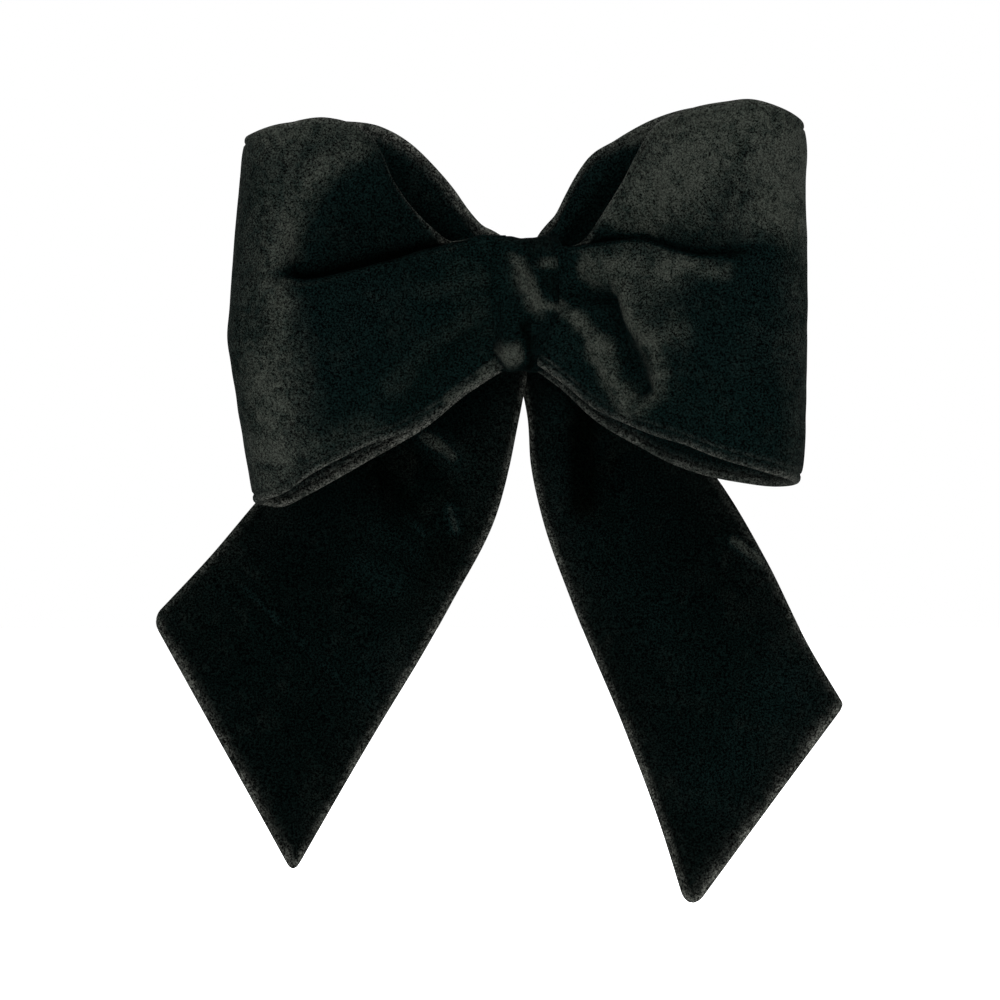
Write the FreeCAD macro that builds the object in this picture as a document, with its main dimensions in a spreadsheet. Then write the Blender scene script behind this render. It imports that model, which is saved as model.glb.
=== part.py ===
"""Velvet hair bow on a spring barrette, as a parametric FreeCAD document.

Millimetres. The origin is the centre of the knot, on the front face of the barrette's base plate.
+X is the wearer-side right of the bow seen from the front, +Z is up, and the front of the bow faces -Y.
The barrette lies along X behind the knot, and its arm opens towards +Y.

Depth, front to back: loops, pinched waist of the loop band, tails, base plate, tension bar, hair, arm.
"""

import FreeCAD, Part
import math
import os

import Sketcher
from FreeCAD import Placement, Rotation, Vector

doc = FreeCAD.newDocument("HairBow")
sheet = doc.addObject("Spreadsheet::Sheet", "Sheet")

# ---------------------------------------------------------------- driving dimensions

DIMENSIONS = {
    # fabric
    "velvet": 1.0,  # thickness of one velvet ply
    "stiffener": 0.3,  # thickness of the non-woven stiffener inside a loop
    "ply_gap": 0.05,  # air between plies, so that they stay separate solids
    # loops: the plan outline is a small round root, a big round turn and two flat panels between them
    "root_x": 15.3,
    "root_y": -14.0,
    "root_radius": 5.6,
    "turn_radius": 13.5,
    "left_reach": 68.4,
    "right_reach": 66.3,
    "band_half_height": 52.0,
    "trim_margin": 80.0,
    "silhouette_root_x": 7.0,
    "silhouette_far_x": 75.0,
    # left loop, front view
    "left_root_top": 15.0,
    "left_crown_x": -36.0,
    "left_crown_z": 41.5,
    "left_far_top": 37.6,
    "left_far_bottom": -52.0,
    "left_root_bottom": -14.0,
    "left_shoulder_radius": 68.0,
    "left_top_radius": 120.0,
    "left_bottom_radius": 154.0,
    # right loop, front view
    "right_root_top": 15.0,
    "right_crown_x": 40.0,
    "right_crown_z": 46.0,
    "right_far_top": 40.0,
    "right_far_bottom": -44.5,
    "right_root_bottom": -17.0,
    "right_shoulder_radius": 38.0,
    "right_top_radius": 54.0,
    "right_bottom_radius": 95.0,
    # pinched waist of the loop band, and the thread round it
    "waist_half_width": 8.6,
    "waist_half_height": 13.8,
    "waist_front": -20.4,
    "waist_back": -8.2,
    "waist_corner": 3.0,
    "groove_half_width": 2.2,
    "groove_depth": 1.0,
    "thread_radius": 0.4,
    "thread_pitch": 0.85,
    "thread_clearance": 0.02,
    # folded middle of the tail strip
    "fold_front": -7.95,
    "fold_back": -0.15,
    "fold_corner": 2.5,
    # knot wrap: one band round the waist, the fold and the base plate
    "wrap_half_width": 9.0,
    "wrap_half_height": 16.0,
    "wrap_front": -22.5,
    "wrap_back": 2.75,
    "wrap_ply": 1.8,
    "wrap_corner": 5.0,
    "stitch_radius": 0.3,
    "stitch_length": 3.0,
    "stitch_pitch": 5.0,
    # tails: each swings about the knot's centre, so its top edge is an arc round the origin
    "tail_top_radius": 19.0,
    "left_tail_front": -6.6,
    "right_tail_front": -3.6,
    "tail_corner_round": 2.0,
    "left_inner_top_x": -0.8,
    "left_inner_top_z": -18.983,
    "left_outer_top_x": -15.5,
    "left_outer_top_z": -10.989,
    "left_elbow_x": -60.7,
    "left_elbow_z": -48.5,
    "left_corner_x": -85.0,
    "left_corner_z": -75.5,
    "left_tip_x": -53.0,
    "left_tip_z": -131.0,
    "left_knee_x": -7.5,
    "left_knee_z": -56.5,
    "left_outer_radius": 203.0,
    "left_inner_radius": 130.0,
    "right_inner_top_x": 0.9,
    "right_inner_top_z": -18.979,
    "right_outer_top_x": 15.5,
    "right_outer_top_z": -10.989,
    "right_elbow_x": 45.8,
    "right_elbow_z": -41.3,
    "right_corner_x": 74.5,
    "right_corner_z": -94.0,
    "right_tip_x": 39.7,
    "right_tip_z": -139.5,
    "right_knee_x": 10.0,
    "right_knee_z": -64.7,
    "right_outer_radius": 76.0,
    "right_inner_radius": 112.0,
    # barrette base plate
    "plate_half_length": 40.0,
    "plate_half_width": 4.5,
    "plate_thickness": 0.8,
    "sew_hole_x": 37.2,
    "sew_hole_radius": 0.9,
    # hinge at the plate's -X end
    "pin_x": -31.0,
    "pin_y": 4.2,
    "pin_radius": 0.85,
    "pin_bore_radius": 0.9,
    "pin_head_radius": 1.4,
    "pin_head_height": 0.5,
    "pin_head_gap": 0.03,
    "ear_half_length": 2.3,
    "ear_half_gap": 3.7,
    "knuckle_radius": 1.7,
    "knuckle_half_width": 1.9,
    "eye_radius": 1.55,
    "eye_inner": 2.05,
    "bar_half_width": 3.4,
    # arm
    "arm_thickness": 0.8,
    "arm_start_y": 5.0,
    "arm_end_x": 38.0,
    "arm_end_y": 9.2,
    "arm_radius": 105.0,
    "arm_neck_x": -27.6,
    "arm_shoulder_x": -25.5,
    "arm_half_width": 3.5,
    "arm_head_start_x": 25.0,
    "arm_head_x": 28.5,
    "arm_head_half_width": 5.5,
    "arm_head_round": 2.0,
    "window_start_x": 30.5,
    "window_end_x": 35.3,
    "window_half_width": 3.75,
    # tension bar
    "bar_thickness": 0.45,
    "bar_start_y": 2.75,
    "bar_end_x": 29.2,
    "bar_end_y": 1.1,
    "bar_radius": 112.0,
    "bar_fork_x": -28.3,
    "bar_tip_half_width": 2.2,
    "bar_taper_x": 22.0,
    # catch
    "foot_start_x": 30.5,
    "foot_end_x": 35.1,
    "foot_half_width": 2.9,
    "foot_thickness": 0.6,
    "foot_gap": 0.05,
    "rivet_x": 32.8,
    "rivet_radius": 0.8,
    "rivet_head_radius": 1.4,
    "rivet_head_height": 0.4,
    "prong_half_length": 1.8,
    "prong_x": 32.8,
    "prong_inner": 3.0,
    "prong_outer": 3.6,
    "prong_root_y": 1.0,
    "prong_top_y": 12.4,
    "hook_outer": 3.7,
    "hook_height": 0.8,
    "pad_low_y": 6.6,
    "pad_high_y": 7.2,
    "pad_outer": 6.4,
}

for row, (alias, number) in enumerate(DIMENSIONS.items(), start=1):
    sheet.set(f"A{row}", alias)
    sheet.set(f"B{row}", str(number))
    sheet.setAlias(f"B{row}", alias)
doc.recompute()


def size(alias):
    """The number held by one cell of the sheet."""
    return float(sheet.get(alias))


def value(expression):
    """What an expression such as "Sheet.pin_x + 1" comes to now."""
    return float(sheet.evalExpression(expression))


# ---------------------------------------------------------------- sketch and feature helpers

PLANES = {"plan": "XY_Plane", "front": "XZ_Plane", "side": "YZ_Plane"}
BULGE_LEFT, BULGE_RIGHT = 1, -1


def new_body(label):
    body = doc.addObject("PartDesign::Body", label)
    body.Label = label
    return body


def new_sketch(body, name, view, lift=None):
    """A sketch on one of the body's own origin planes, raised along the plane's normal by an expression."""
    sketch = body.newObject("Sketcher::SketchObject", name)
    plane = next(o for o in body.Origin.OriginFeatures if o.Role == PLANES[view])
    sketch.AttachmentSupport = [(plane, "")]
    sketch.MapMode = "FlatFace"
    if lift is not None:
        sketch.setExpression(".AttachmentOffset.Base.z", lift)
    return sketch


def constrain(sketch, kind, *where, expression):
    """One dimension of the sketch, bound to the sheet."""
    number = sketch.addConstraint(Sketcher.Constraint(kind, *where, value(expression)))
    sketch.setExpression(f"Constraints[{number}]", expression)


def pin_point(sketch, edge, end, corner):
    """Places one end (or a circle's centre, end 3) at a pair of expressions."""
    constrain(sketch, "DistanceX", -1, 1, edge, end, expression=corner[0])
    constrain(sketch, "DistanceY", -1, 1, edge, end, expression=corner[1])


def arc_between(start, end, radius, bulge):
    """The shorter arc from start to end. BULGE_RIGHT bows it to the right of the way it is drawn."""
    chord = end - start
    middle = (start + end) * 0.5
    left = Vector(-chord.y, chord.x, 0).normalize()
    rise = math.sqrt(max(radius**2 - (chord.Length / 2) ** 2, 0))
    centre = middle - left * (rise * bulge)
    circle = Part.Circle(centre, Vector(0, 0, 1), radius)
    angles = [math.atan2(p.y - centre.y, p.x - centre.x) for p in (start, end)]
    if bulge == BULGE_LEFT:
        angles.reverse()
    return Part.ArcOfCircle(circle, *angles)


def outline(sketch, corners, arcs=None):
    """A closed wire through corners, given as pairs of expressions.

    arcs holds {edge: (radius expression, bulge)}; every other edge is straight."""
    arcs = arcs or {}
    points = [Vector(value(x), value(y), 0) for x, y in corners]
    ends = []
    for i, start in enumerate(points):
        finish = points[(i + 1) % len(points)]
        if i not in arcs:
            edge = sketch.addGeometry(Part.LineSegment(start, finish))
            ends.append((edge, 1, 2))
            continue
        radius, bulge = arcs[i]
        edge = sketch.addGeometry(arc_between(start, finish, value(radius), bulge))
        ends.append((edge, 1, 2) if bulge == BULGE_RIGHT else (edge, 2, 1))
        constrain(sketch, "Radius", edge, expression=radius)
    for i, (edge, first, last) in enumerate(ends):
        following, following_first, _ = ends[(i + 1) % len(ends)]
        joint = Sketcher.Constraint("Coincident", edge, last, following, following_first)
        sketch.addConstraint(joint)
        pin_point(sketch, edge, first, corners[i])


def rectangle(sketch, low_x, low_y, high_x, high_y):
    outline(sketch, [(low_x, low_y), (high_x, low_y), (high_x, high_y), (low_x, high_y)])


def circle(sketch, centre, radius):
    edge = sketch.addGeometry(
        Part.Circle(Vector(value(centre[0]), value(centre[1]), 0), Vector(0, 0, 1), value(radius))
    )
    pin_point(sketch, edge, 3, centre)
    constrain(sketch, "Radius", edge, expression=radius)


def rounded_outline(sketch, low_x, low_y, high_x, high_y, corner):
    """A rectangle with four quarter-round corners."""
    corners = [
        (f"{low_x} + {corner}", low_y),
        (f"{high_x} - ({corner})", low_y),
        (high_x, f"{low_y} + {corner}"),
        (high_x, f"{high_y} - ({corner})"),
        (f"{high_x} - ({corner})", high_y),
        (f"{low_x} + {corner}", high_y),
        (low_x, f"{high_y} - ({corner})"),
        (low_x, f"{low_y} + {corner}"),
    ]
    outline(sketch, corners, {edge: (corner, BULGE_RIGHT) for edge in (1, 3, 5, 7)})


def both_ways(body, kind, sketch, length=None):
    """A Pad or Pocket on both sides of its sketch: of one total length, or through everything."""
    feature = body.newObject(f"PartDesign::{kind}", f"{kind}_{sketch.Name}")
    feature.Profile = sketch
    feature.SideType = "Symmetric"
    if length is None:
        feature.Type = "ThroughAll"
    else:
        feature.setExpression("Length", length)
    before = body.Shape.Volume if kind == "Pocket" else 0
    doc.recompute()
    if kind == "Pocket" and body.Shape.Volume > before - 1e-6:
        raise RuntimeError(f"{feature.Name} cut nothing")
    return feature


def one_way(body, sketch, length, reverse=False):
    """A Pad on one side of its sketch. reverse sends it against the plane's normal."""
    feature = body.newObject("PartDesign::Pad", f"Pad_{sketch.Name}")
    feature.Profile = sketch
    feature.Reversed = reverse
    feature.setExpression("Length", length)
    doc.recompute()
    return feature


def trim_outside(body, name, view, corners, arcs=None):
    """Cuts away all that lies outside an outline seen in one view."""
    sketch = new_sketch(body, name, view)
    far = "Sheet.trim_margin"
    rectangle(sketch, f"-2 * {far}", f"-2 * {far}", f"2 * {far}", f"2 * {far}")
    outline(sketch, corners, arcs)
    both_ways(body, "Pocket", sketch)


def round_corners(body, corners, radius):
    """Rounds the edges that run along Y through the given front-view corners."""
    solid = body.Tip
    names = []
    for x, z in corners:
        for number, edge in enumerate(solid.Shape.Edges, start=1):
            ends = [v.Point for v in edge.Vertexes]
            near = all(math.hypot(p.x - value(x), p.z - value(z)) < 0.01 for p in ends)
            if len(ends) == 2 and near:
                names.append(f"Edge{number}")
    fillet = body.newObject("PartDesign::Fillet", "Fillet_corners")
    fillet.Base = (solid, names)
    fillet.setExpression("Radius", radius)
    doc.recompute()


# ---------------------------------------------------------------- loops

LOOP_SIDES = {"left": -1, "right": 1}
# Each ply of a loop: how far its outer and inner faces lie inside the loop's outer surface.
LOOP_PLIES = {
    "outer_velvet": ("0", "Sheet.velvet"),
    "stiffener": (
        "(Sheet.velvet + Sheet.ply_gap)",
        "(Sheet.velvet + Sheet.ply_gap + Sheet.stiffener)",
    ),
    "lining_velvet": (
        "(Sheet.velvet + 2 * Sheet.ply_gap + Sheet.stiffener)",
        "(2 * Sheet.velvet + 2 * Sheet.ply_gap + Sheet.stiffener)",
    ),
}


def loop_plan(sketch, side, inset):
    """Plan outline of a loop, moved in by inset: root arc, turn arc and the tangent lines that join them.

    The turn's centre lies further forward than the root's by the difference of their radii, so the back
    panel runs along X. The front panel leans away from it by twice the angle of the line of centres."""
    sign = LOOP_SIDES[side]
    grow = "(Sheet.turn_radius - Sheet.root_radius)"
    turn_x = f"(Sheet.{side}_reach - Sheet.turn_radius)"
    turn_y = f"(Sheet.root_y - {grow})"
    root_r = f"(Sheet.root_radius - {inset})"
    turn_r = f"(Sheet.turn_radius - {inset})"
    lean = f"(2 * atan({grow} / ({turn_x} - Sheet.root_x)))"
    back_root = (f"{sign} * Sheet.root_x", f"Sheet.root_y + {root_r}")
    back_turn = (f"{sign} * {turn_x}", f"{turn_y} + {turn_r}")
    nose = (f"{sign} * ({turn_x} + {turn_r})", turn_y)
    front_turn = (f"{sign} * ({turn_x} - {turn_r} * sin({lean}))", f"{turn_y} - {turn_r} * cos({lean})")
    front_root = (
        f"{sign} * (Sheet.root_x - {root_r} * sin({lean}))",
        f"Sheet.root_y - {root_r} * cos({lean})",
    )
    bulge = BULGE_LEFT if sign > 0 else BULGE_RIGHT
    outline(
        sketch,
        [back_root, back_turn, nose, front_turn, front_root],
        {1: (turn_r, bulge), 2: (turn_r, bulge), 4: (root_r, bulge)},
    )


def loop_silhouette(side):
    """Front view of a loop, as corners and arcs. The far edge stands clear of the turn, which is left whole."""
    sign = LOOP_SIDES[side]
    root = f"{sign} * Sheet.silhouette_root_x"
    far = f"{sign} * Sheet.silhouette_far_x"
    corners = [
        (root, f"Sheet.{side}_root_top"),
        (f"Sheet.{side}_crown_x", f"Sheet.{side}_crown_z"),
        (far, f"Sheet.{side}_far_top"),
        (far, f"Sheet.{side}_far_bottom"),
        (root, f"Sheet.{side}_root_bottom"),
    ]
    bulge = BULGE_RIGHT if sign < 0 else BULGE_LEFT
    radii = {0: "shoulder", 1: "top", 3: "bottom"}
    return corners, {e: (f"Sheet.{side}_{r}_radius", bulge) for e, r in radii.items()}


def build_loop_ply(side, ply):
    outer, inner = LOOP_PLIES[ply]
    body = new_body(f"{side}_loop_{ply}")
    band = new_sketch(body, f"band_{side}_{ply}", "plan")
    loop_plan(band, side, outer)
    loop_plan(band, side, inner)
    both_ways(body, "Pad", band, "2 * Sheet.band_half_height")
    corners, arcs = loop_silhouette(side)
    trim_outside(body, f"silhouette_{side}_{ply}", "front", corners, arcs)
    return body


# ---------------------------------------------------------------- waist, thread, fold and knot wrap


def build_waist():
    """The loop band where the thread pinches it: a block of pleats with a groove round its middle."""
    body = new_body("loop_waist")
    block = new_sketch(body, "waist_block", "side")
    edges = ("Sheet.waist_front", "-Sheet.waist_half_height", "Sheet.waist_back", "Sheet.waist_half_height")
    rounded_outline(block, *edges, "Sheet.waist_corner")
    both_ways(body, "Pad", block, "2 * Sheet.waist_half_width")
    groove = new_sketch(body, "waist_groove", "side")
    far = "Sheet.trim_margin"
    rectangle(groove, f"-{far}", f"-{far}", far, far)
    depth = "Sheet.groove_depth"
    rounded_outline(
        groove,
        f"(Sheet.waist_front + {depth})",
        f"(-Sheet.waist_half_height + {depth})",
        f"(Sheet.waist_back - {depth})",
        f"(Sheet.waist_half_height - {depth})",
        f"(Sheet.waist_corner - {depth})",
    )
    both_ways(body, "Pocket", groove, "2 * Sheet.groove_half_width")
    return body


def build_cinch_thread():
    """Five turns of thread in the waist's groove."""
    thread = size("thread_radius")
    lift = thread + size("thread_clearance") - size("groove_depth")
    front, back = size("waist_front") - lift, size("waist_back") + lift
    half_height = size("waist_half_height") + lift
    corner = size("waist_corner") + lift
    turns = []
    for turn in range(-2, 3):
        path = rounded_wire(turn * size("thread_pitch"), front, back, half_height, corner)
        start = path.Edges[0].Vertexes[0].Point
        ring = Part.Wire(Part.makeCircle(thread, start, path.Edges[0].tangentAt(0)))
        turns.append(Part.Wire(path.Edges).makePipeShell([ring], True, False))
    feature = doc.addObject("Part::Feature", "cinch_thread")
    feature.Shape = Part.makeCompound(turns)
    return feature


def rounded_wire(x, front, back, half_height, corner):
    """A rounded rectangle in the plane X = x, as a closed wire that starts on its front edge."""
    low, high = -half_height, half_height
    slant = corner * (1 - math.sqrt(0.5))
    sides = [
        Part.LineSegment(Vector(x, front, low + corner), Vector(x, front, high - corner)),
        Part.Arc(
            Vector(x, front, high - corner),
            Vector(x, front + slant, high - slant),
            Vector(x, front + corner, high),
        ),
        Part.LineSegment(Vector(x, front + corner, high), Vector(x, back - corner, high)),
        Part.Arc(
            Vector(x, back - corner, high),
            Vector(x, back - slant, high - slant),
            Vector(x, back, high - corner),
        ),
        Part.LineSegment(Vector(x, back, high - corner), Vector(x, back, low + corner)),
        Part.Arc(
            Vector(x, back, low + corner),
            Vector(x, back - slant, low + slant),
            Vector(x, back - corner, low),
        ),
        Part.LineSegment(Vector(x, back - corner, low), Vector(x, front + corner, low)),
        Part.Arc(
            Vector(x, front + corner, low),
            Vector(x, front + slant, low + slant),
            Vector(x, front, low + corner),
        ),
    ]
    return Part.Wire([side.toShape() for side in sides])


def build_tail_fold():
    """The folded middle of the tail strip, held inside the wrap behind the waist."""
    body = new_body("tail_fold")
    block = new_sketch(body, "fold_block", "side")
    edges = ("Sheet.fold_front", "-Sheet.waist_half_height", "Sheet.fold_back", "Sheet.waist_half_height")
    rounded_outline(block, *edges, "Sheet.fold_corner")
    both_ways(body, "Pad", block, "2 * Sheet.waist_half_width")
    return body


def build_knot_wrap():
    """The band that goes round the waist, the tail fold and the base plate, and closes on itself."""
    body = new_body("knot_wrap")
    ring = new_sketch(body, "wrap_ring", "side")
    edges = ["Sheet.wrap_front", "-Sheet.wrap_half_height", "Sheet.wrap_back", "Sheet.wrap_half_height"]
    rounded_outline(ring, *edges, "Sheet.wrap_corner")
    ply = "Sheet.wrap_ply"
    inside = [f"({edge} {sign} {ply})" for edge, sign in zip(edges, "++--")]
    rounded_outline(ring, *inside, f"(Sheet.wrap_corner - {ply})")
    both_ways(body, "Pad", ring, "2 * Sheet.wrap_half_width")
    return body


def build_knot_stitches():
    """Hand stitches across the wrap's seam, on its back."""
    stitches = []
    for step in range(-2, 3):
        stitch = doc.addObject("Part::Cylinder", f"stitch_{step + 3}")
        stitch.setExpression("Radius", "Sheet.stitch_radius")
        stitch.setExpression("Height", "Sheet.stitch_length")
        stitch.Placement = Placement(Vector(), Rotation(Vector(0, 1, 0), 90))
        stitch.setExpression(".Placement.Base.x", "-Sheet.stitch_length / 2")
        stitch.setExpression(".Placement.Base.y", "Sheet.wrap_back + Sheet.stitch_radius / 2")
        stitch.setExpression(".Placement.Base.z", f"{step} * Sheet.stitch_pitch")
        stitches.append(stitch)
    group = doc.addObject("Part::Compound", "knot_stitches")
    group.Links = stitches
    return group


# ---------------------------------------------------------------- tails

TAIL_FACES = {"front_velvet": 0, "back_velvet": 1}


def tail_outline(side):
    """Front view of a tail: concave top round the knot, outer edge, slanting hem and inner edge."""
    places = ("inner_top", "outer_top", "elbow", "corner", "tip", "knee")
    corners = [(f"Sheet.{side}_{p}_x", f"Sheet.{side}_{p}_z") for p in places]
    hollow, bowed = (BULGE_LEFT, BULGE_RIGHT) if side == "left" else (BULGE_RIGHT, BULGE_LEFT)
    return corners, {
        0: ("Sheet.tail_top_radius", hollow),
        1: (f"Sheet.{side}_outer_radius", bowed),
        5: (f"Sheet.{side}_inner_radius", bowed),
    }


def build_tail_face(side, face):
    body = new_body(f"{side}_tail_{face}")
    step = f"{TAIL_FACES[face]} * (Sheet.velvet + 2 * Sheet.ply_gap)"
    depth = f"(Sheet.{side}_tail_front + {step})"
    sketch = new_sketch(body, f"tail_{side}_{face}", "front", lift=f"-{depth}")
    corners, arcs = tail_outline(side)
    outline(sketch, corners, arcs)
    one_way(body, sketch, "Sheet.velvet", reverse=True)
    hem = [(f"Sheet.{side}_{p}_x", f"Sheet.{side}_{p}_z") for p in ("corner", "tip")]
    round_corners(body, hem, "Sheet.tail_corner_round")
    return body


# ---------------------------------------------------------------- barrette


def build_base_plate():
    """Flat strip with round ends, sewing holes, a rivet hole and two ears for the hinge pin."""
    body = new_body("clip_base")
    strip = new_sketch(body, "plate_outline", "front", lift="-Sheet.plate_thickness")
    half, wide = "Sheet.plate_half_length", "Sheet.plate_half_width"
    flat = f"({half} - {wide})"
    right_end = [(flat, f"-{wide}"), (half, "0"), (flat, wide)]
    left_end = [(f"-{flat}", wide), (f"-{half}", "0"), (f"-{flat}", f"-{wide}")]
    outline(strip, right_end + left_end, {edge: (wide, BULGE_RIGHT) for edge in (0, 1, 3, 4)})
    one_way(body, strip, "Sheet.plate_thickness")
    ears = new_sketch(body, "ear_profile", "plan")
    foot, round_off = "Sheet.plate_thickness / 2", "Sheet.ear_half_length"
    heel, toe = f"(Sheet.pin_x - {round_off})", f"(Sheet.pin_x + {round_off})"
    crown = ("Sheet.pin_x", f"Sheet.pin_y + {round_off}")
    profile = [(heel, foot), (toe, foot), (toe, "Sheet.pin_y"), crown, (heel, "Sheet.pin_y")]
    outline(ears, profile, {2: (round_off, BULGE_RIGHT), 3: (round_off, BULGE_RIGHT)})
    both_ways(body, "Pad", ears, f"2 * {wide}")
    gap = new_sketch(body, "ear_gap", "plan")
    clear = "2 * Sheet.ear_half_length"
    rectangle(
        gap,
        f"Sheet.pin_x - {clear}",
        "Sheet.plate_thickness",
        f"Sheet.pin_x + {clear}",
        f"Sheet.pin_y + {clear}",
    )
    both_ways(body, "Pocket", gap, "2 * Sheet.ear_half_gap")
    pin_hole = new_sketch(body, "pin_hole", "plan")
    circle(pin_hole, ("Sheet.pin_x", "Sheet.pin_y"), "Sheet.pin_radius")
    both_ways(body, "Pocket", pin_hole)
    holes = new_sketch(body, "plate_holes", "front")
    circle(holes, ("Sheet.sew_hole_x", "0"), "Sheet.sew_hole_radius")
    circle(holes, ("-Sheet.sew_hole_x", "0"), "Sheet.sew_hole_radius")
    circle(holes, ("Sheet.rivet_x", "0"), "Sheet.rivet_radius")
    both_ways(body, "Pocket", holes)
    return body


def strip_profile(sketch, start_x, start_y, end_x, end_y, thickness, radius):
    """Side view of a bowed strip that arches towards +Y."""
    corners = [
        (start_x, start_y),
        (end_x, end_y),
        (end_x, f"{end_y} + {thickness}"),
        (start_x, f"{start_y} + {thickness}"),
    ]
    outline(sketch, corners, {0: (radius, BULGE_LEFT), 2: (radius, BULGE_RIGHT)})


def build_arm():
    """Bowed closing arm: hinge knuckle, wide head with a window that snaps over the catch prongs."""
    body = new_body("clip_arm")
    strip = new_sketch(body, "arm_profile", "plan")
    strip_profile(
        strip,
        "Sheet.pin_x",
        "Sheet.arm_start_y",
        "Sheet.arm_end_x",
        "Sheet.arm_end_y",
        "Sheet.arm_thickness",
        "Sheet.arm_radius",
    )
    both_ways(body, "Pad", strip, "2 * Sheet.arm_head_half_width")
    neck, wide, head = "Sheet.knuckle_half_width", "Sheet.arm_half_width", "Sheet.arm_head_half_width"
    tip, round_off = "Sheet.arm_end_x", "Sheet.arm_head_round"
    upper = [
        ("Sheet.pin_x - Sheet.ear_half_length", neck),
        ("Sheet.arm_neck_x", neck),
        ("Sheet.arm_shoulder_x", wide),
        ("Sheet.arm_head_start_x", wide),
        ("Sheet.arm_head_x", head),
        (f"{tip} - {round_off}", head),
        (tip, f"{head} - {round_off}"),
    ]
    lower = [(x, f"-({z})") for x, z in reversed(upper)]
    rounded_tip = {edge: (round_off, BULGE_LEFT) for edge in (5, 7)}
    trim_outside(body, "arm_plan", "front", upper + lower, rounded_tip)
    knuckle = new_sketch(body, "knuckle", "plan")
    circle(knuckle, ("Sheet.pin_x", "Sheet.pin_y"), "Sheet.knuckle_radius")
    both_ways(body, "Pad", knuckle, f"2 * {neck}")
    bore = new_sketch(body, "knuckle_bore", "plan")
    circle(bore, ("Sheet.pin_x", "Sheet.pin_y"), "Sheet.pin_bore_radius")
    both_ways(body, "Pocket", bore)
    window = new_sketch(body, "window", "front")
    half = "Sheet.window_half_width"
    rectangle(window, "Sheet.window_start_x", f"-{half}", "Sheet.window_end_x", half)
    both_ways(body, "Pocket", window)
    return body


def build_tension_bar():
    """Thin bowed spring between plate and arm: forked round the arm's knuckle, two eyes on the hinge pin."""
    body = new_body("tension_bar")
    strip = new_sketch(body, "bar_profile", "plan")
    strip_profile(
        strip,
        "Sheet.pin_x",
        "Sheet.bar_start_y",
        "Sheet.bar_end_x",
        "Sheet.bar_end_y",
        "Sheet.bar_thickness",
        "Sheet.bar_radius",
    )
    both_ways(body, "Pad", strip, "2 * Sheet.bar_half_width")
    eyes = new_sketch(body, "bar_eyes", "plan")
    circle(eyes, ("Sheet.pin_x", "Sheet.pin_y"), "Sheet.eye_radius")
    both_ways(body, "Pad", eyes, "2 * Sheet.bar_half_width")
    wide, tip = "Sheet.bar_half_width", "Sheet.bar_tip_half_width"
    heel = "(Sheet.pin_x - Sheet.ear_half_length)"
    corners = [
        (heel, "Sheet.eye_inner"),
        ("Sheet.bar_fork_x", "Sheet.eye_inner"),
        ("Sheet.bar_fork_x", "-Sheet.eye_inner"),
        (heel, "-Sheet.eye_inner"),
        (heel, f"-{wide}"),
        ("Sheet.bar_taper_x", f"-{wide}"),
        ("Sheet.bar_end_x", f"-{tip}"),
        ("Sheet.bar_end_x", tip),
        ("Sheet.bar_taper_x", wide),
        (heel, wide),
    ]
    trim_outside(body, "bar_plan", "front", corners)
    bore = new_sketch(body, "eye_bore", "plan")
    circle(bore, ("Sheet.pin_x", "Sheet.pin_y"), "Sheet.pin_bore_radius")
    both_ways(body, "Pocket", bore)
    return body


def headed_pin(label, axis_rotation, base, radius, head_radius, head_height, low, high):
    """A shaft from low to high along its axis, with a head outside each end. base places the axis."""
    pieces = [("shaft", radius, f"({high}) - ({low})", low)]
    pieces.append(("low_head", head_radius, head_height, f"({low}) - {head_height}"))
    pieces.append(("high_head", head_radius, head_height, high))
    parts = []
    for name, r, height, start in pieces:
        part = doc.addObject("Part::Cylinder", f"{label}_{name}")
        part.setExpression("Radius", r)
        part.setExpression("Height", height)
        part.Placement = Placement(Vector(), axis_rotation)
        for axis, expression in base(start).items():
            part.setExpression(f".Placement.Base.{axis}", expression)
        parts.append(part)
    fused = doc.addObject("Part::MultiFuse", label)
    fused.Shapes = parts
    return fused


def build_hinge_pin():
    reach = "Sheet.plate_half_width + Sheet.pin_head_gap"
    return headed_pin(
        "hinge_pin",
        Rotation(),
        lambda start: {"x": "Sheet.pin_x", "y": "Sheet.pin_y", "z": start},
        "Sheet.pin_radius",
        "Sheet.pin_head_radius",
        "Sheet.pin_head_height",
        f"-({reach})",
        reach,
    )


def build_catch_rivet():
    return headed_pin(
        "catch_rivet",
        Rotation(Vector(1, 0, 0), -90),
        lambda start: {"x": "Sheet.rivet_x", "y": start, "z": "0"},
        "Sheet.rivet_radius",
        "Sheet.rivet_head_radius",
        "Sheet.rivet_head_height",
        "-Sheet.foot_gap",
        "Sheet.plate_thickness + 2 * Sheet.foot_gap + Sheet.foot_thickness",
    )


def build_catch_foot():
    """Flat foot that the rivet holds on the base plate. The two prongs spring from its long edges."""
    body = new_body("catch_foot")
    sketch = new_sketch(body, "foot", "front", lift="-(Sheet.plate_thickness + Sheet.foot_gap)")
    wide = "Sheet.foot_half_width"
    rectangle(sketch, "Sheet.foot_start_x", f"-{wide}", "Sheet.foot_end_x", wide)
    circle(sketch, ("Sheet.rivet_x", "0"), "Sheet.rivet_radius")
    one_way(body, sketch, "Sheet.foot_thickness", reverse=True)
    return body


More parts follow.
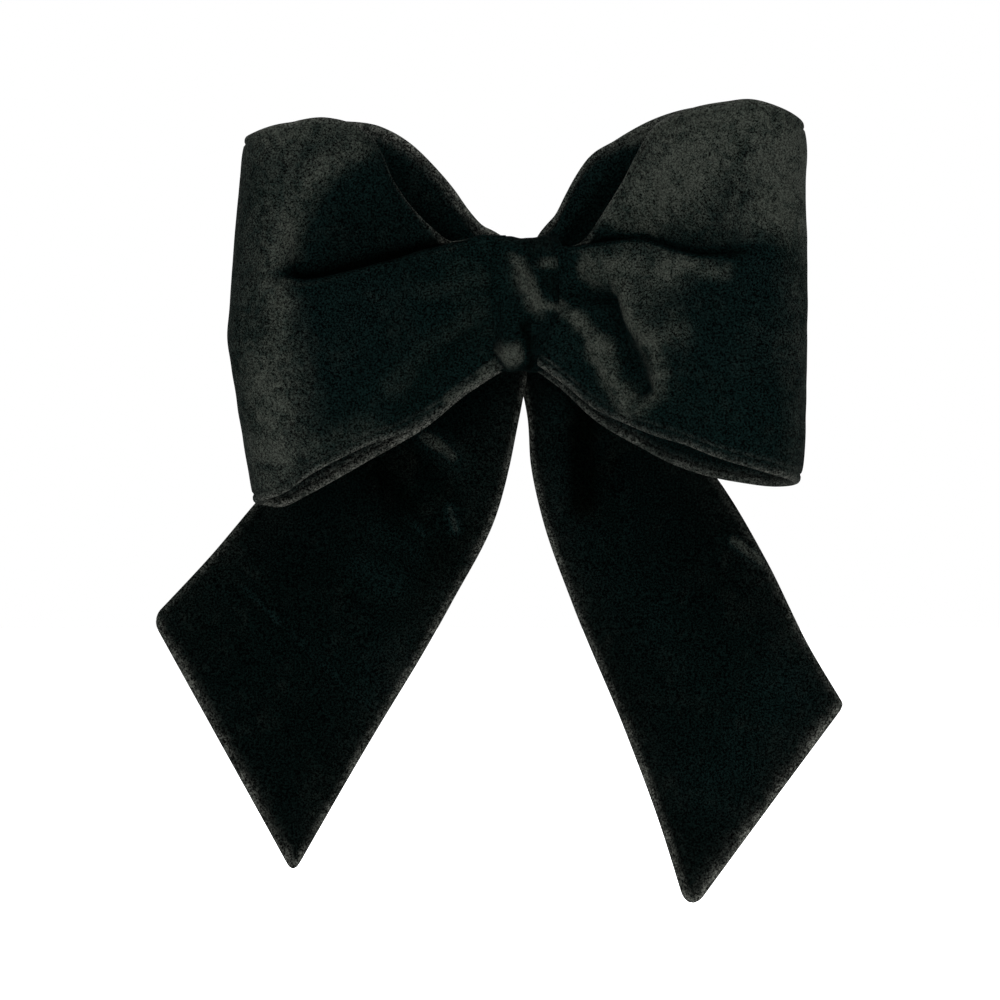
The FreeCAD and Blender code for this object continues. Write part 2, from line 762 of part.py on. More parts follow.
def build_prong(label, sign):
    """A sprung prong: upright, thumb pad half way up, and a rounded hook at the top."""
    body = new_body(label)
    sketch = new_sketch(body, f"profile_{label}", "side", lift="Sheet.prong_x")
    inner, outer, hook = "Sheet.prong_inner", "Sheet.prong_outer", "Sheet.hook_outer"
    top, nose = "Sheet.prong_top_y", "(Sheet.prong_top_y - Sheet.hook_height)"
    profile = [
        ("Sheet.prong_root_y", inner),
        (top, inner),
        (top, f"({inner} + {outer}) / 2"),
        (nose, hook),
        (f"({nose} - Sheet.hook_height)", outer),
        ("Sheet.pad_high_y", outer),
        ("Sheet.pad_high_y", "Sheet.pad_outer"),
        ("Sheet.pad_low_y", "Sheet.pad_outer"),
        ("Sheet.pad_low_y", outer),
        ("Sheet.prong_root_y", outer),
    ]
    outline(sketch, [(y, f"{sign} * ({z})") for y, z in profile])
    both_ways(body, "Pad", sketch, "2 * Sheet.prong_half_length")
    return body


# ---------------------------------------------------------------- build, check and write


def build_all():
    nodes = [build_loop_ply(side, ply) for side in LOOP_SIDES for ply in LOOP_PLIES]
    nodes += [build_tail_face(side, face) for side in LOOP_SIDES for face in TAIL_FACES]
    nodes += [build_waist(), build_cinch_thread(), build_tail_fold()]
    nodes += [build_knot_wrap(), build_knot_stitches()]
    nodes += [build_base_plate(), build_arm(), build_tension_bar(), build_hinge_pin()]
    nodes += [build_catch_foot(), build_catch_rivet()]
    nodes += [build_prong("catch_prong_upper", 1), build_prong("catch_prong_lower", -1)]
    return nodes


def check_and_write(nodes):
    doc.recompute()
    failed = [o.Label for o in doc.Objects if {"Invalid", "Error"} & set(o.State)]
    if failed:
        raise RuntimeError(f"these objects failed: {failed}")
    os.makedirs("parts", exist_ok=True)
    for node in nodes:
        shape = node.Shape
        if shape.isNull() or not shape.isValid() or not shape.Solids:
            raise RuntimeError(f"{node.Label} has no valid solid")
        shape.exportStep(os.path.join("parts", f"{node.Label}.step"))


check_and_write(build_all())
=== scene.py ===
import math

import bmesh
import bpy
import numpy as np
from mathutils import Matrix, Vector, noise


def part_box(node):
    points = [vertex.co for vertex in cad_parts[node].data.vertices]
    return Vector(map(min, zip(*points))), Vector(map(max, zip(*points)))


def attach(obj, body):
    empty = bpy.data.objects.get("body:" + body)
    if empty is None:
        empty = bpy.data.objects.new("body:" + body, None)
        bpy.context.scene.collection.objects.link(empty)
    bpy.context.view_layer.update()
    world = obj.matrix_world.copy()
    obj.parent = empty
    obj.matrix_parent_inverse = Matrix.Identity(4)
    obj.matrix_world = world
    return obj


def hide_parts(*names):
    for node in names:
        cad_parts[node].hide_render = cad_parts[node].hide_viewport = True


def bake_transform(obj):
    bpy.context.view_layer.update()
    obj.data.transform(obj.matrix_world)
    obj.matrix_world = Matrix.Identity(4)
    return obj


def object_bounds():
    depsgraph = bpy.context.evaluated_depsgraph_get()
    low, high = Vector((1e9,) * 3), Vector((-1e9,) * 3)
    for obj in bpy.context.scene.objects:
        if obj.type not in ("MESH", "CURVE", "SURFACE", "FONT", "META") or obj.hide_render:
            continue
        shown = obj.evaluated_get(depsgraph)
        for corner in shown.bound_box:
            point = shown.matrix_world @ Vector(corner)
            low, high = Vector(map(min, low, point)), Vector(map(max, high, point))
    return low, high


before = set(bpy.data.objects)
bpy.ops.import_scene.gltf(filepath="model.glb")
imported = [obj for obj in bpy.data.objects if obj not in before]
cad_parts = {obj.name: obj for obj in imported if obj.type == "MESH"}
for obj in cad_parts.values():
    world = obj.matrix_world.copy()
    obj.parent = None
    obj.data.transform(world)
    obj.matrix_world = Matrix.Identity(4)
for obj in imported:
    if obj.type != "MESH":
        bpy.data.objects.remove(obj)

# The velvet bow's looks, built in millimetres round the CAD frame and turned to metres as each mesh is made.
# x runs to the right, y away from the viewer and z up. "reach" is the distance along x from the middle.

CAD_LOW, CAD_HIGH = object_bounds()
MM = 0.001
SIDES = {"left": -1, "right": 1}


# ---- curves

CURVE_SAMPLES = 600  # fine places on a smooth curve, before they are spaced evenly
LEAN_BLUR = 0.4  # a leaning stroke's two widths meet over this distance on each side of its line


def through(points, at):
    """A smooth curve through (place, value) points, read at the given places and flat beyond its ends."""
    x, y = np.array(points, float).T
    slope = np.gradient(y, x)
    at = np.clip(at, x[0], x[-1])
    i = np.clip(np.searchsorted(x, at) - 1, 0, len(x) - 2)
    h = x[i + 1] - x[i]
    t = (at - x[i]) / h
    start = y[i] * (1 + 2 * t) * (1 - t) ** 2 + slope[i] * h * t * (1 - t) ** 2
    end = y[i + 1] * t * t * (3 - 2 * t) + slope[i + 1] * h * t * t * (t - 1)
    return start + end


def ease(low, high, at):
    """0 below low, 1 above high and smooth in between."""
    t = np.clip((at - low) / (high - low), 0, 1)
    return t * t * (3 - 2 * t)


def bell(at, centre, width):
    """1 at the centre, falling smoothly towards 0 on both sides of it."""
    return np.exp(-(((at - centre) / width) ** 2))


def between(share, start, end):
    """The place at a share of the way from start to end."""
    return start + share * (end - start)


def even(curve, shares):
    """Points at the given shares of a polyline's length."""
    run = np.concatenate([[0], np.cumsum(np.linalg.norm(np.diff(curve, axis=0), axis=1))])
    return np.stack([np.interp(shares * run[-1], run, c) for c in curve.T], 1)


def along(points, count):
    """Evenly spaced points on a smooth curve through a few points."""
    points = np.array(points, float)
    chord = np.linalg.norm(np.diff(points, axis=0), axis=1)
    place = np.concatenate([[0], np.cumsum(chord)]) / chord.sum()
    fine = np.linspace(0, 1, CURVE_SAMPLES)
    curve = np.stack([through(np.stack([place, c], 1), fine) for c in points.T], 1)
    return even(curve, np.linspace(0, 1, count))


def on_curve(curve, share):
    """The places at one or more shares of the length of an evenly spaced curve."""
    places = np.linspace(0, 1, len(curve))
    return np.stack([np.interp(share, places, c) for c in curve.T], -1)


def b_spline_weights(controls, samples):
    """Rows of weights that turn control points into even samples of a clamped cubic B-spline."""
    spans = controls + 1
    place = np.linspace(0, spans, samples)
    span = np.minimum(place.astype(int), spans - 1)
    t = place - span
    basis = np.stack([(1 - t) ** 3, 3 * t**3 - 6 * t**2 + 4, -3 * t**3 + 3 * t**2 + 3 * t + 1, t**3], 1)
    weights = np.zeros((samples, controls))
    for k in range(4):
        used = np.clip(span + k - 2, 0, controls - 1)
        np.add.at(weights, (np.arange(samples), used), basis[:, k] / 6)
    return weights


def stroke(x, z, points, width, lean=1.0):
    """How strongly each place feels a soft brush stroke drawn through a few points: 1 on it, 0 far away.

    lean makes the stroke wider, or narrower below 1, to the left of its direction."""
    best = np.zeros(np.shape(x))
    points = np.array(points, float)
    if len(points) == 1:
        points = np.repeat(points, 2, 0)
    for a, b in zip(points[:-1], points[1:]):
        run = b - a
        length = max(run @ run, 1e-9)
        t = np.clip(((x - a[0]) * run[0] + (z - a[1]) * run[1]) / length, 0, 1)
        away = (x - a[0] - t * run[0]) ** 2 + (z - a[1] - t * run[1]) ** 2
        turn = run[0] * (z - a[1]) - run[1] * (x - a[0])
        reach = width * (1 + (lean - 1) * ease(-LEAN_BLUR, LEAN_BLUR, turn / math.sqrt(length)))
        best = np.maximum(best, np.exp(-away / reach**2))
    return best


def strokes(x, z, table):
    """The sum of several strokes. Each row holds a strength, (x, z) points, a width and perhaps a lean."""
    return sum(strength * stroke(x, z, points, *width) for strength, points, *width in table)


def cloth_noise(points, scale, seed):
    """Smooth noise between about -1 and 1, with features of the given size in millimetres."""
    shift = Vector((seed * 17.3, seed * 5.1, seed * 9.7))
    flat = points.reshape(-1, 3) / scale
    values = [noise.noise(Vector(p) + shift) for p in flat]
    return np.array(values).reshape(points.shape[:-1])


# ---- thick cloth

CLOTH = 0.8  # half the thickness of the double cloth
RIM = 0.9  # the sewn edge is round over this much of the width
SEAM = 2.3  # the stitched line's distance from the edge
EDGE_STEPS = [0, 0.08, 0.25, 0.5, 0.85, 1.3, 1.8, 2.1, SEAM, 2.5, 2.9, 3.5]
SMOOTH_EDGE, FREE_CLOTH = 0.5, 5  # wrinkles grow from the first to the second distance from a sewn edge
WELD = 1e-6


def dome(edge, width):
    """A quarter round: 0 at an edge, rising to 1 at the given distance from it."""
    return np.sqrt(np.clip(1 - (1 - np.clip(edge / width, 0, 1)) ** 2, 0, 1))


def half_thickness(edge):
    """Half the cloth's thickness at a distance from its edge: a round bead, a stitched groove, then flat."""
    puff = 1 + 0.18 * bell(edge, 1.2, 0.8)
    groove = 1 - 0.38 * bell(edge, SEAM, 0.35)
    return CLOTH * dome(edge, RIM) * puff * groove


def seam_wear_and_sheen(edge, rim, width, ridge):
    """How much paler the pile is near a sewn edge, from wear and painted sheen: along its rim, and on the
    ridges beside the stitching.
    """
    ridges = 0.6 * bell(edge, 3.0, 0.45) + 0.45 * bell(edge, 1.5, 0.5)
    return np.clip(rim * bell(edge, 0, width) + ridge * ridges, 0, 1)


def surface_normals(grid, rows=None, columns=None):
    """Normals of a grid of points, turned so that those of its first rows and columns face the front."""
    normal = np.cross(np.gradient(grid, axis=0), np.gradient(grid, axis=1))
    normal /= np.maximum(np.linalg.norm(normal, axis=2, keepdims=True), 1e-9)
    return normal * -np.sign(normal[:rows, :columns, 1].mean())


def make_mesh(name, vertices, faces, values, material):
    """A smooth-shaded mesh object from millimetre vertices. Each entry of values becomes an attribute."""
    mesh = bpy.data.meshes.new(name)
    mesh.from_pydata((np.array(vertices) * MM).tolist(), [], faces)
    mesh.polygons.foreach_set("use_smooth", [True] * len(mesh.polygons))
    for key, numbers in values.items():
        attribute = mesh.attributes.new(key, "FLOAT", "POINT")
        attribute.data.foreach_set("value", np.asarray(numbers, np.float32).ravel())
    mesh.update()
    mesh.materials.append(material)
    piece = bpy.data.objects.new(name, mesh)
    bpy.context.scene.collection.objects.link(piece)
    return piece


def make_piece(name, vertices, faces, values, material, nodes):
    """A closed mesh shown in place of the given CAD nodes: shared vertices joined, all faces outwards."""
    piece = make_mesh(name, vertices, faces, values, material)
    work = bmesh.new()
    work.from_mesh(piece.data)
    bmesh.ops.remove_doubles(work, verts=work.verts, dist=WELD)
    bmesh.ops.recalc_face_normals(work, faces=work.faces)
    work.to_mesh(piece.data)
    work.free()
    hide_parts(*nodes)
    return piece


def grid_faces(rows, columns, first=0, around=False, closed=False):
    """Quads of a grid of vertices. around joins the last column to the first, and closed the last row."""
    faces = []
    for r in range(rows if closed else rows - 1):
        a, b = first + r * columns, first + (r + 1) % rows * columns
        for c in range(columns if around else columns - 1):
            d = (c + 1) % columns
            faces.append((a + c, a + d, b + d, b + c))
    return faces


def end_caps(rows, columns, first=0):
    """The two faces that close the ends of a tube of vertices."""
    last = first + (rows - 1) * columns
    return [tuple(range(first, first + columns))[::-1], tuple(range(last, last + columns))]


def there_and_back(front, back):
    """Joins a front and a back grid, which share their two side edges, into one ring of columns."""
    return np.concatenate([front, back[:, -2:0:-1]], 1)


# ---- loops

TURN_CENTRE_Y, TURN_RADIUS = -21.9, 12.6  # the loops' outer turn, seen from above
TURN_START = math.radians(-16)
LAYER = 2.0  # depth from one layer of a pleat to the next
LOOP_ROWS, LOOP_COLUMNS = 176, 176
PATH_SAMPLES, PATH_SMOOTHING, SECTION_SAMPLES = 900, 61, 700
NOSE_ROWS = 10  # rows on each side of the loop's end over which its front turns into its back
LEFT_RIDGE = [(-37, 36), (-47.5, 30.5), (-52.5, 22), (-56, 14), (-57.4, 6)]

# Each loop's outlines are (reach, height) points: its sewn edges at the front and the back, and the tip of
# the pleat in its front. "tuck" is how far the pleat goes down behind that tip, "fade" where it dies out,
# "waist" how the loop narrows with height and "belly" how far its panels swell. "creases" and "ridge" push
# the cloth out. "fold_shade" is the width of the painted shade over the pleat, "turn_painted_light" how much
# painted sheen pales the outer turn at the front and the back, and "inner_rim" how strong and wide the wear
# and painted sheen inside the rim are.
LEFT_LOOP = {
    "reach": 66.9,
    "bottom": [
        (3, -14.4), (8.6, -18), (14, -21.6), (22, -27.8), (28.3, -30.9), (34, -32.6), (44.4, -36.9),
        (51, -39.9), (59, -44.2), (67, -46.6),
    ],
    "back_bottom": [
        (3, -14.8), (14, -22), (22, -28.6), (30, -33.4), (34.3, -35.6), (45.3, -41.1), (54, -45),
        (60.7, -47.6), (67, -47),
    ],
    "top": [
        (3, 11), (12, 13), (17, 14.6), (20.8, 17.6), (24.2, 21), (27.6, 25.2), (30.8, 30.4), (32.6, 34.6),
        (34.4, 37.8), (38, 40.4), (46, 42.5), (56, 41.4), (62, 40.2), (67, 38.6),
    ],
    "back_top": [
        (3, 14.4), (5, 16.2), (7, 17.4), (9, 18.4), (12, 21.6), (16, 27.2), (20, 31.9), (26, 37.7),
        (33, 41.6), (42, 43), (56, 41.6), (67, 39),
    ],
    "pleat": [(3, 15), (10.5, 14.6), (16.6, 12.8), (30.6, 8.9), (40.5, 6), (49.5, 3.9), (58, 4.4)],
    "tuck": [(3, 8), (20, 8.4), (30, 8), (42, 6.4), (50, 4.6), (58, 2)],
    "fade": (54.5, 60.5),
    "waist": [
        (-48, 0.926), (-38, 0.938), (-24, 0.961), (-14, 0.981), (-8, 0.991), (0, 0.98), (8, 0.9745),
        (20, 0.965), (30, 0.957), (44, 0.952),
    ],
    "belly": 2.4,
    "creases": (
        (0.8, [(-10, -2), (-22, -10), (-30, -20)], 2.6),
        (-1.0, [(-9, -6), (-19, -16), (-26, -25)], 2.6),
        (0.7, [(-10, 5), (-24, 2)], 2.2),
    ),
    "ridge": ((1.3, LEFT_RIDGE + [(-55, -3), (-52, -16)], 3.4),),
    "fold_shade": 2.3,
    "turn_painted_light": (0.05, 0.35),
    "inner_rim": (1.0, 2.5),
}
RIGHT_LOOP = {
    "reach": 64.6,
    "bottom": [
        (3, -14), (9.5, -18.8), (16.6, -24.6), (24.6, -28.6), (30, -30.9), (38, -33.5), (44.3, -36.1),
        (51.2, -38.2), (58, -40), (66, -42),
    ],
    "back_bottom": [
        (3, -15.4), (9.5, -20.2), (16.6, -26.8), (27.8, -33.6), (34.3, -37.1), (45, -40.7), (52, -42),
        (60, -42.9), (66, -42.5),
    ],
    "top": [
        (3, 11), (12, 13), (15, 15.5), (18, 20), (24, 30), (27, 36), (30, 40.8), (34, 43.4), (39, 45),
        (47, 46.2), (53, 46.6), (58, 45.4), (62, 43.8), (66, 41.4),
    ],
    "back_top": [
        (3, 14.6), (4, 16.4), (6, 18.9), (8, 21.2), (10, 25.2), (12, 29), (15, 33.6), (22, 38.6),
        (30, 43.1), (38, 45.8), (52, 46.2), (62, 43.6), (66, 41.4),
    ],
    "pleat": [(3, 12), (12.5, 12.3), (20, 13.4), (27.5, 13.8), (33, 12), (40, 9.9), (47, 9.6), (58, 10.8)],
    "tuck": [(3, 8), (20, 8), (30, 6.6), (38, 4), (44, 2.2), (58, 1)],
    "fade": (43, 59),
    "waist": [
        (-44, 0.99), (-37, 1.005), (-26, 1.005), (-8, 0.997), (0, 1.0), (8, 1.0), (16, 1.001), (22, 0.997),
        (30, 1.0), (38, 1.007), (46, 1.0),
    ],
    "belly": 1.8,
    "creases": (
        (1.7, [(17, 6.5), (22.6, 4.4), (23.8, 1.6), (26.1, -4.8), (30, -9.5)], 1.5, 2.2),
        (1.6, [(30, -9.5), (32.7, -15), (32.3, -21.2), (27.7, -25.1)], 2.6, 0.6),
        (1.5, [(5.8, 0), (13.6, -3.3), (19.1, -11.1), (21.5, -17.3), (24.5, -23.6)], 2.2, 0.7),
        (-2.8, [(16, 1.5), (21, 1), (22.2, -7), (27, -15.5), (28.5, -20)], 2.5),
    ),
    "ridge": (),
    "fold_shade": 1.3,
    "turn_painted_light": (0.5, 0.5),
    "inner_rim": (0.42, 2.1),
}
LOOPS = {"left": LEFT_LOOP, "right": RIGHT_LOOP}

# Strokes of painted sheen on a loop's front, and of painted shade below 0.
LEFT_SHEEN_AND_SHADE = (
    (0.45, LEFT_RIDGE + [(-55, -2), (-57, -9)], 2.3),
    (0.6, [(-59.5, -16), (-57, -28), (-57, -36)], 5.5),
    (0.22, [(-53, -35), (-37, -30.5)], 3.6),
    (0.8, [(-17, -22.6), (-7, -15.4)], 1.3),
    (0.5, [(-62, 39), (-50, 42), (-38, 41)], 4.4),
    (-0.5, [(-60, -37.5), (-57, -38.6)], 1.2),
    (-0.35, [(-42, 16), (-30, 19)], 6),
)
# Painted sheen on the right loop's upper panel, and painted shade below 0.
RIGHT_PANEL_SHEEN_AND_SHADE = (
    (1.1, [(32, 27), (42, 34), (52, 38), (58, 30), (59, 24)], 11),
    (0.45, [(33, 42), (50, 44), (62, 38)], 4),
    (-0.3, [(50, 32), (53, 24)], 3.4),
    (-0.4, [(60.5, 40)], 2.4),
    (-0.22, [(30, 17), (37, 16)], 4),
)
# Painted sheen along the right loop's pleat.
RIGHT_PLEAT_SHEEN = (
    (0.85, [(17, 8), (25, 8.6), (35, 7.4)], 3.8),
    (0.5, [(34, 8), (46, 7)], 2.0),
)
# Painted sheen along the right loop's creases under the pleat, and painted shade below 0.
RIGHT_CREASE_SHEEN_AND_SHADE = (
    (0.8, [(22.6, 3.6), (23.8, 1.6), (26.1, -4.8), (30, -9.5)], 0.8, 3.4),
    (0.5, [(30, -9.5), (32.4, -14), (32.8, -17)], 2.2, 0.5),
    (0.14, [(24, -8), (29, -18)], 4),
    (0.45, [(32.8, -14), (32.9, -18), (32, -21.5), (28.5, -24.6)], 0.7),
    (0.75, [(13.6, -3.6), (18.2, -10)], 1.3, 0.8),
    (0.9, [(18.6, -11.5), (21, -17.3), (25, -23.8)], 2.3, 0.8),
    (0.35, [(7, 0), (13.6, -3.6)], 1.4),
    (0.25, [(30, 1), (36, -8)], 3.4),
    (-0.25, [(18, 0), (21.2, 1), (22, -7)], 1.9),
    (-0.3, [(11, 11), (12.5, -2)], 1.6),
)


def plan_path(side):
    """Plan places of the band's middle from the knot's front, round the turn, to the knot's back.

    Returns the reach, the depth y, and where each place is: 0 on the front panel, 1 on the back panel."""
    centre = LOOPS[side]["reach"] - TURN_RADIUS
    angles = np.linspace(TURN_START, math.pi, 40)
    turn = np.stack([centre + TURN_RADIUS * np.sin(angles), TURN_CENTRE_Y - TURN_RADIUS * np.cos(angles)], 1)
    front = [(3, -18.1), (8, -18.7), (14, -20.0), (24, -23.6), (36, -29.4)]
    front.append((centre - 9, TURN_CENTRE_Y - TURN_RADIUS + 1.6))
    back = [(centre - 10, TURN_CENTRE_Y + TURN_RADIUS), (22, -9.4), (12, -9.8), (3, -11.4)]
    fine = even(np.concatenate([front, turn, back]), np.linspace(0, 1, PATH_SAMPLES))
    kernel = np.hanning(PATH_SMOOTHING)
    kernel /= kernel.sum()
    margin = PATH_SMOOTHING // 2
    padded = np.pad(fine, ((margin, margin), (0, 0)), mode="edge")
    smooth = np.stack([np.convolve(c, kernel, "valid") for c in padded.T], 1)
    places = even(smooth, np.linspace(0, 1, LOOP_ROWS))
    nose = np.argmax(places[:, 0])
    behind = ease(nose - NOSE_ROWS, nose + NOSE_ROWS, np.arange(LOOP_ROWS))
    return places[:, 0], places[:, 1], behind


def loop_sections(side, reach, behind):
    """Control points (z, depth into the loop) of the band's cross-section at each place along it."""
    shape = LOOPS[side]

    def edge_height(name):
        """Height of the band's bottom or top edge, from its front outline to its back one."""
        return (1 - behind) * through(shape[name], reach) + behind * through(shape["back_" + name], reach)

    def point(flat, folded, plain, deep):
        """One control point: its heights where the band is flat and where it is folded, then its depths."""
        return np.stack([flat * (1 - fold) + folded * fold, plain * (1 - fold) + deep * fold + 0 * reach], 1)

    bottom, top = edge_height("bottom"), edge_height("top")
    fold = (1 - ease(*shape["fade"], reach)) * (1 - behind)
    tip = through(shape["pleat"], reach)
    valley = tip - through(shape["tuck"], reach)
    rise = ease(14, 40, reach)
    swell = shape["belly"] * ease(6, 34, reach) * (1 - 0.6 * behind)
    hem = 0.9 * ease(4, 30, reach) * (1 - behind)
    layer = fold * LAYER * (0.7 + 0.3 * ease(10, 24, reach))
    mid = np.minimum(tip, between(0.62, bottom, top))
    lower = [point(bottom, bottom, hem, hem)]
    for share, folded_share, curl, plain, deep in (
        (0.12, 0.12, 0.4, 0.35, 0.3),
        (0.45, 0.45, 0, 0.95, 1),
        (0.78, 0.8, 0, 1, 0.8),
    ):
        heights = between(share, bottom, mid), between(folded_share, bottom, tip)
        lower.append(point(*heights, hem * curl - swell * plain, hem * curl - swell * deep))
    lower.append(point(mid - 2.5, tip - 2.0, -swell * 0.97, -swell * 0.5 - 0.25 * layer))
    pleat = [
        point(mid - 0.8, tip + 0.5, -swell * 0.94, -swell * 0.3 - 0.25 * layer),
        point(mid + 1.0, tip + 0.3, -swell * 0.92, 0.7 * layer),
        point(mid + 2.4, valley + 1.8, -swell * 0.9, 1.2 * layer),
        point(mid + 3.6, valley - 0.6, -swell * 0.88, 1.9 * layer),
        point(mid + 5.0, valley + 1.8, -swell * 0.86, 2.7 * layer),
    ]
    upper = []
    for share, folded, plain, layers, sag in (
        (0.12, tip + 1.2, -swell * 0.83, 2.7, 0.1),
        (0.3, between(0.3, tip, top), -swell * 0.78, 1.7, 0.5),
        (0.62, between(0.65, tip, top), -swell * 0.7 * rise, 0.9, 0.7),
        (0.9, between(0.9, tip, top), -swell * 0.25 * rise, 0.8, 0.2),
    ):
        upper.append(point(between(share, mid + 5, top), folded, plain, layers * layer - swell * sag * rise))
    upper.append(point(top, top, 0.3 * rise, 0.9 * layer + 0.3 * rise))
    return np.stack(lower + pleat + upper, 1)


def loop_grid(side):
    """Mid-surface of a loop's band, and each place's distance from its nearer sewn edge."""
    reach, depth, behind = plan_path(side)
    controls = loop_sections(side, reach, behind)
    curves = np.einsum("tn,snk->stk", b_spline_weights(controls.shape[1], SECTION_SAMPLES), controls)
    step_x, step_y = np.gradient(reach), np.gradient(depth)
    inward = np.stack([-step_y, step_x], 1) / np.hypot(step_x, step_y)[:, None]
    grid = np.zeros((LOOP_ROWS, LOOP_COLUMNS, 3))
    edge = np.zeros((LOOP_ROWS, LOOP_COLUMNS))
    steps = np.array(EDGE_STEPS)
    middle = LOOP_COLUMNS - 2 * len(steps) + 2
    for r, curve in enumerate(curves):
        run = np.concatenate([[0], np.cumsum(np.linalg.norm(np.diff(curve, axis=0), axis=1))])
        inner = np.linspace(steps[-1], run[-1] - steps[-1], middle)[1:-1]
        place = np.concatenate([steps, inner, run[-1] - steps[::-1]])
        z, d = (np.interp(place, run, c) for c in curve.T)
        grid[r, :, 0] = reach[r] + d * inward[r, 0]
        grid[r, :, 1] = depth[r] + d * inward[r, 1]
        grid[r, :, 2] = z
        edge[r] = np.minimum(place, run[-1] - place)
    pull = through(LOOPS[side]["waist"], grid[:, :, 2]) - 1
    grid[:, :, 0] *= 1 + pull * ease(22, 62, grid[:, :, 0])
    grid[:, :, 0] *= SIDES[side]
    return grid, edge, reach, behind


def loop_wrinkles(side, grid, edge, reach, behind):
    """How far the cloth is pushed out of its smooth shape: gathers at the knot, creases and a soft crush."""
    shape, sign = LOOPS[side], SIDES[side]
    x, z = grid[:, :, 0], grid[:, :, 2]
    front = (1 - behind)[:, None]
    lower = front * (1 - ease(-1.5, 1, z - through(shape["pleat"], np.abs(x))))
    near = (1 - ease(10, 36, reach))[:, None]
    angle = np.arctan2(z + 2, np.abs(x) + 4)
    gathers = np.sin(angle * 17 + 1.3 * sign) + 0.6 * np.sin(angle * 29 + 2)
    push = 0.7 * near * gathers * (0.2 + 0.8 * (1 - front))
    push += 0.35 * cloth_noise(grid, 15, 1 + sign) + 0.14 * cloth_noise(grid, 5.5, 4 + sign)
    push += lower * strokes(x, z, shape["creases"]) + front * strokes(x, z, shape["ridge"])
    return push * ease(SMOOTH_EDGE, FREE_CLOTH, edge)


def left_front_painted_light(x, z):
    """Painted sheen on the left loop's front: a pale outer third, its long ridge and a few places; painted
    shade below 0.
    """
    border = through([(-38, -3), (-33, -2.5), (-23, 2.5), (-14, -1), (2, -2), (10, 0), (36, 5)], z)
    outer_third = 1 - ease(-60, -45, x - border)
    patch = outer_third * (0.37 + 0.1 * ease(28, 36, z)) + strokes(x, z, LEFT_SHEEN_AND_SHADE)
    return patch * (1 - 0.35 * ease(58, 65.5, np.abs(x)))


def right_front_painted_light(x, z, above, grid):
    """Painted sheen on the right loop's front: a pale mottled panel over the pleat and pale creases under it;
    painted shade below 0.
    """
    mottle = 0.9 + 0.35 * cloth_noise(grid, 8, 47) + 0.25 * cloth_noise(grid, 3.5, 49)
    patch = ease(1, 10, above) * strokes(x, z, RIGHT_PANEL_SHEEN_AND_SHADE) * mottle
    patch += 0.12 * ease(0.5, 2.5, above) * stroke(x, z, [(30, 18), (62, 16)], 5)
    patch += 0.5 * stroke(x, z, [(20.5, 20.5), (24.5, 17.6), (31, 16.6)], 2.2)
    # Painted sheen along the creases under the pleat, and painted shade below 0.
    crushed = (1 - ease(-1.2, 0.4, above)) * strokes(x, z, RIGHT_PLEAT_SHEEN)
    crushed += strokes(x, z, RIGHT_CREASE_SHEEN_AND_SHADE)
    return patch + crushed * (1 + 0.5 * cloth_noise(grid, 6, 41) + 0.5 * cloth_noise(grid, 2.6, 53))


def loop_painted_light(side, grid, edge, behind, push):
    """Painted sheen where the pile looks pale, and painted shade where it looks black, on the outer and inner
    faces.
    """
    shape = LOOPS[side]
    reach = np.abs(grid[:, :, 0])
    back = behind[:, None]
    above = grid[:, :, 2] - through(shape["pleat"], reach)
    x = grid[:, :, 0] + 1.4 * cloth_noise(grid, 6, 31) + 0.6 * cloth_noise(grid, 2.2, 33)
    z = grid[:, :, 2] + 1.4 * cloth_noise(grid, 6, 35) + 0.6 * cloth_noise(grid, 2.2, 37)
    patch = left_front_painted_light(x, z) if side == "left" else right_front_painted_light(x, z, above, grid)
    fold = (1 - ease(*shape["fade"], reach)) * ease(9, 14, reach)
    over_valley = above + through(shape["tuck"], reach)
    # Painted shade in a dark line over the pleat, and a painted highlight along the pleat's lip.
    deep = fold * bell(above, 0.8 * shape["fold_shade"], shape["fold_shade"]) * (over_valley > 0)
    lip = fold * 0.5 * bell(above, -0.4, 0.6) * ease(0, 3, over_valley)
    front_painted_light = np.clip(patch, -0.5, 1.2) - 1.1 * deep + lip
    # Painted sheen in soft patches on the back, paler towards the outer end, and on the outer turn.
    back_sheen_patches = 0.7 * ease(0.0, 0.55, cloth_noise(grid, 24, 43 + SIDES[side])) + 0.15 * ease(40, 64, np.abs(x))
    turned = ease(56, 66, np.abs(x)) * between(back, *shape["turn_painted_light"])
    outer = (1 - back) * front_painted_light + back * back_sheen_patches + turned * (0.5 + 0.5 * ease(0, 30, z))
    # Painted sheen on the wrinkles' crests and painted shade in their hollows.
    outer += 0.4 * np.clip(push, -0.7, 0.9) * (0.3 + 0.7 * back)
    # Inside: painted sheen near the rim and painted shade further in; on the right, a painted highlight near
    # the top.
    inner = np.clip(0.2 - 0.06 * edge, -0.4, 0.2)
    if side == "right":
        inner += 0.75 * stroke(x, z, [(25.5, 39), (36, 45)], 2.4)
    return outer, inner


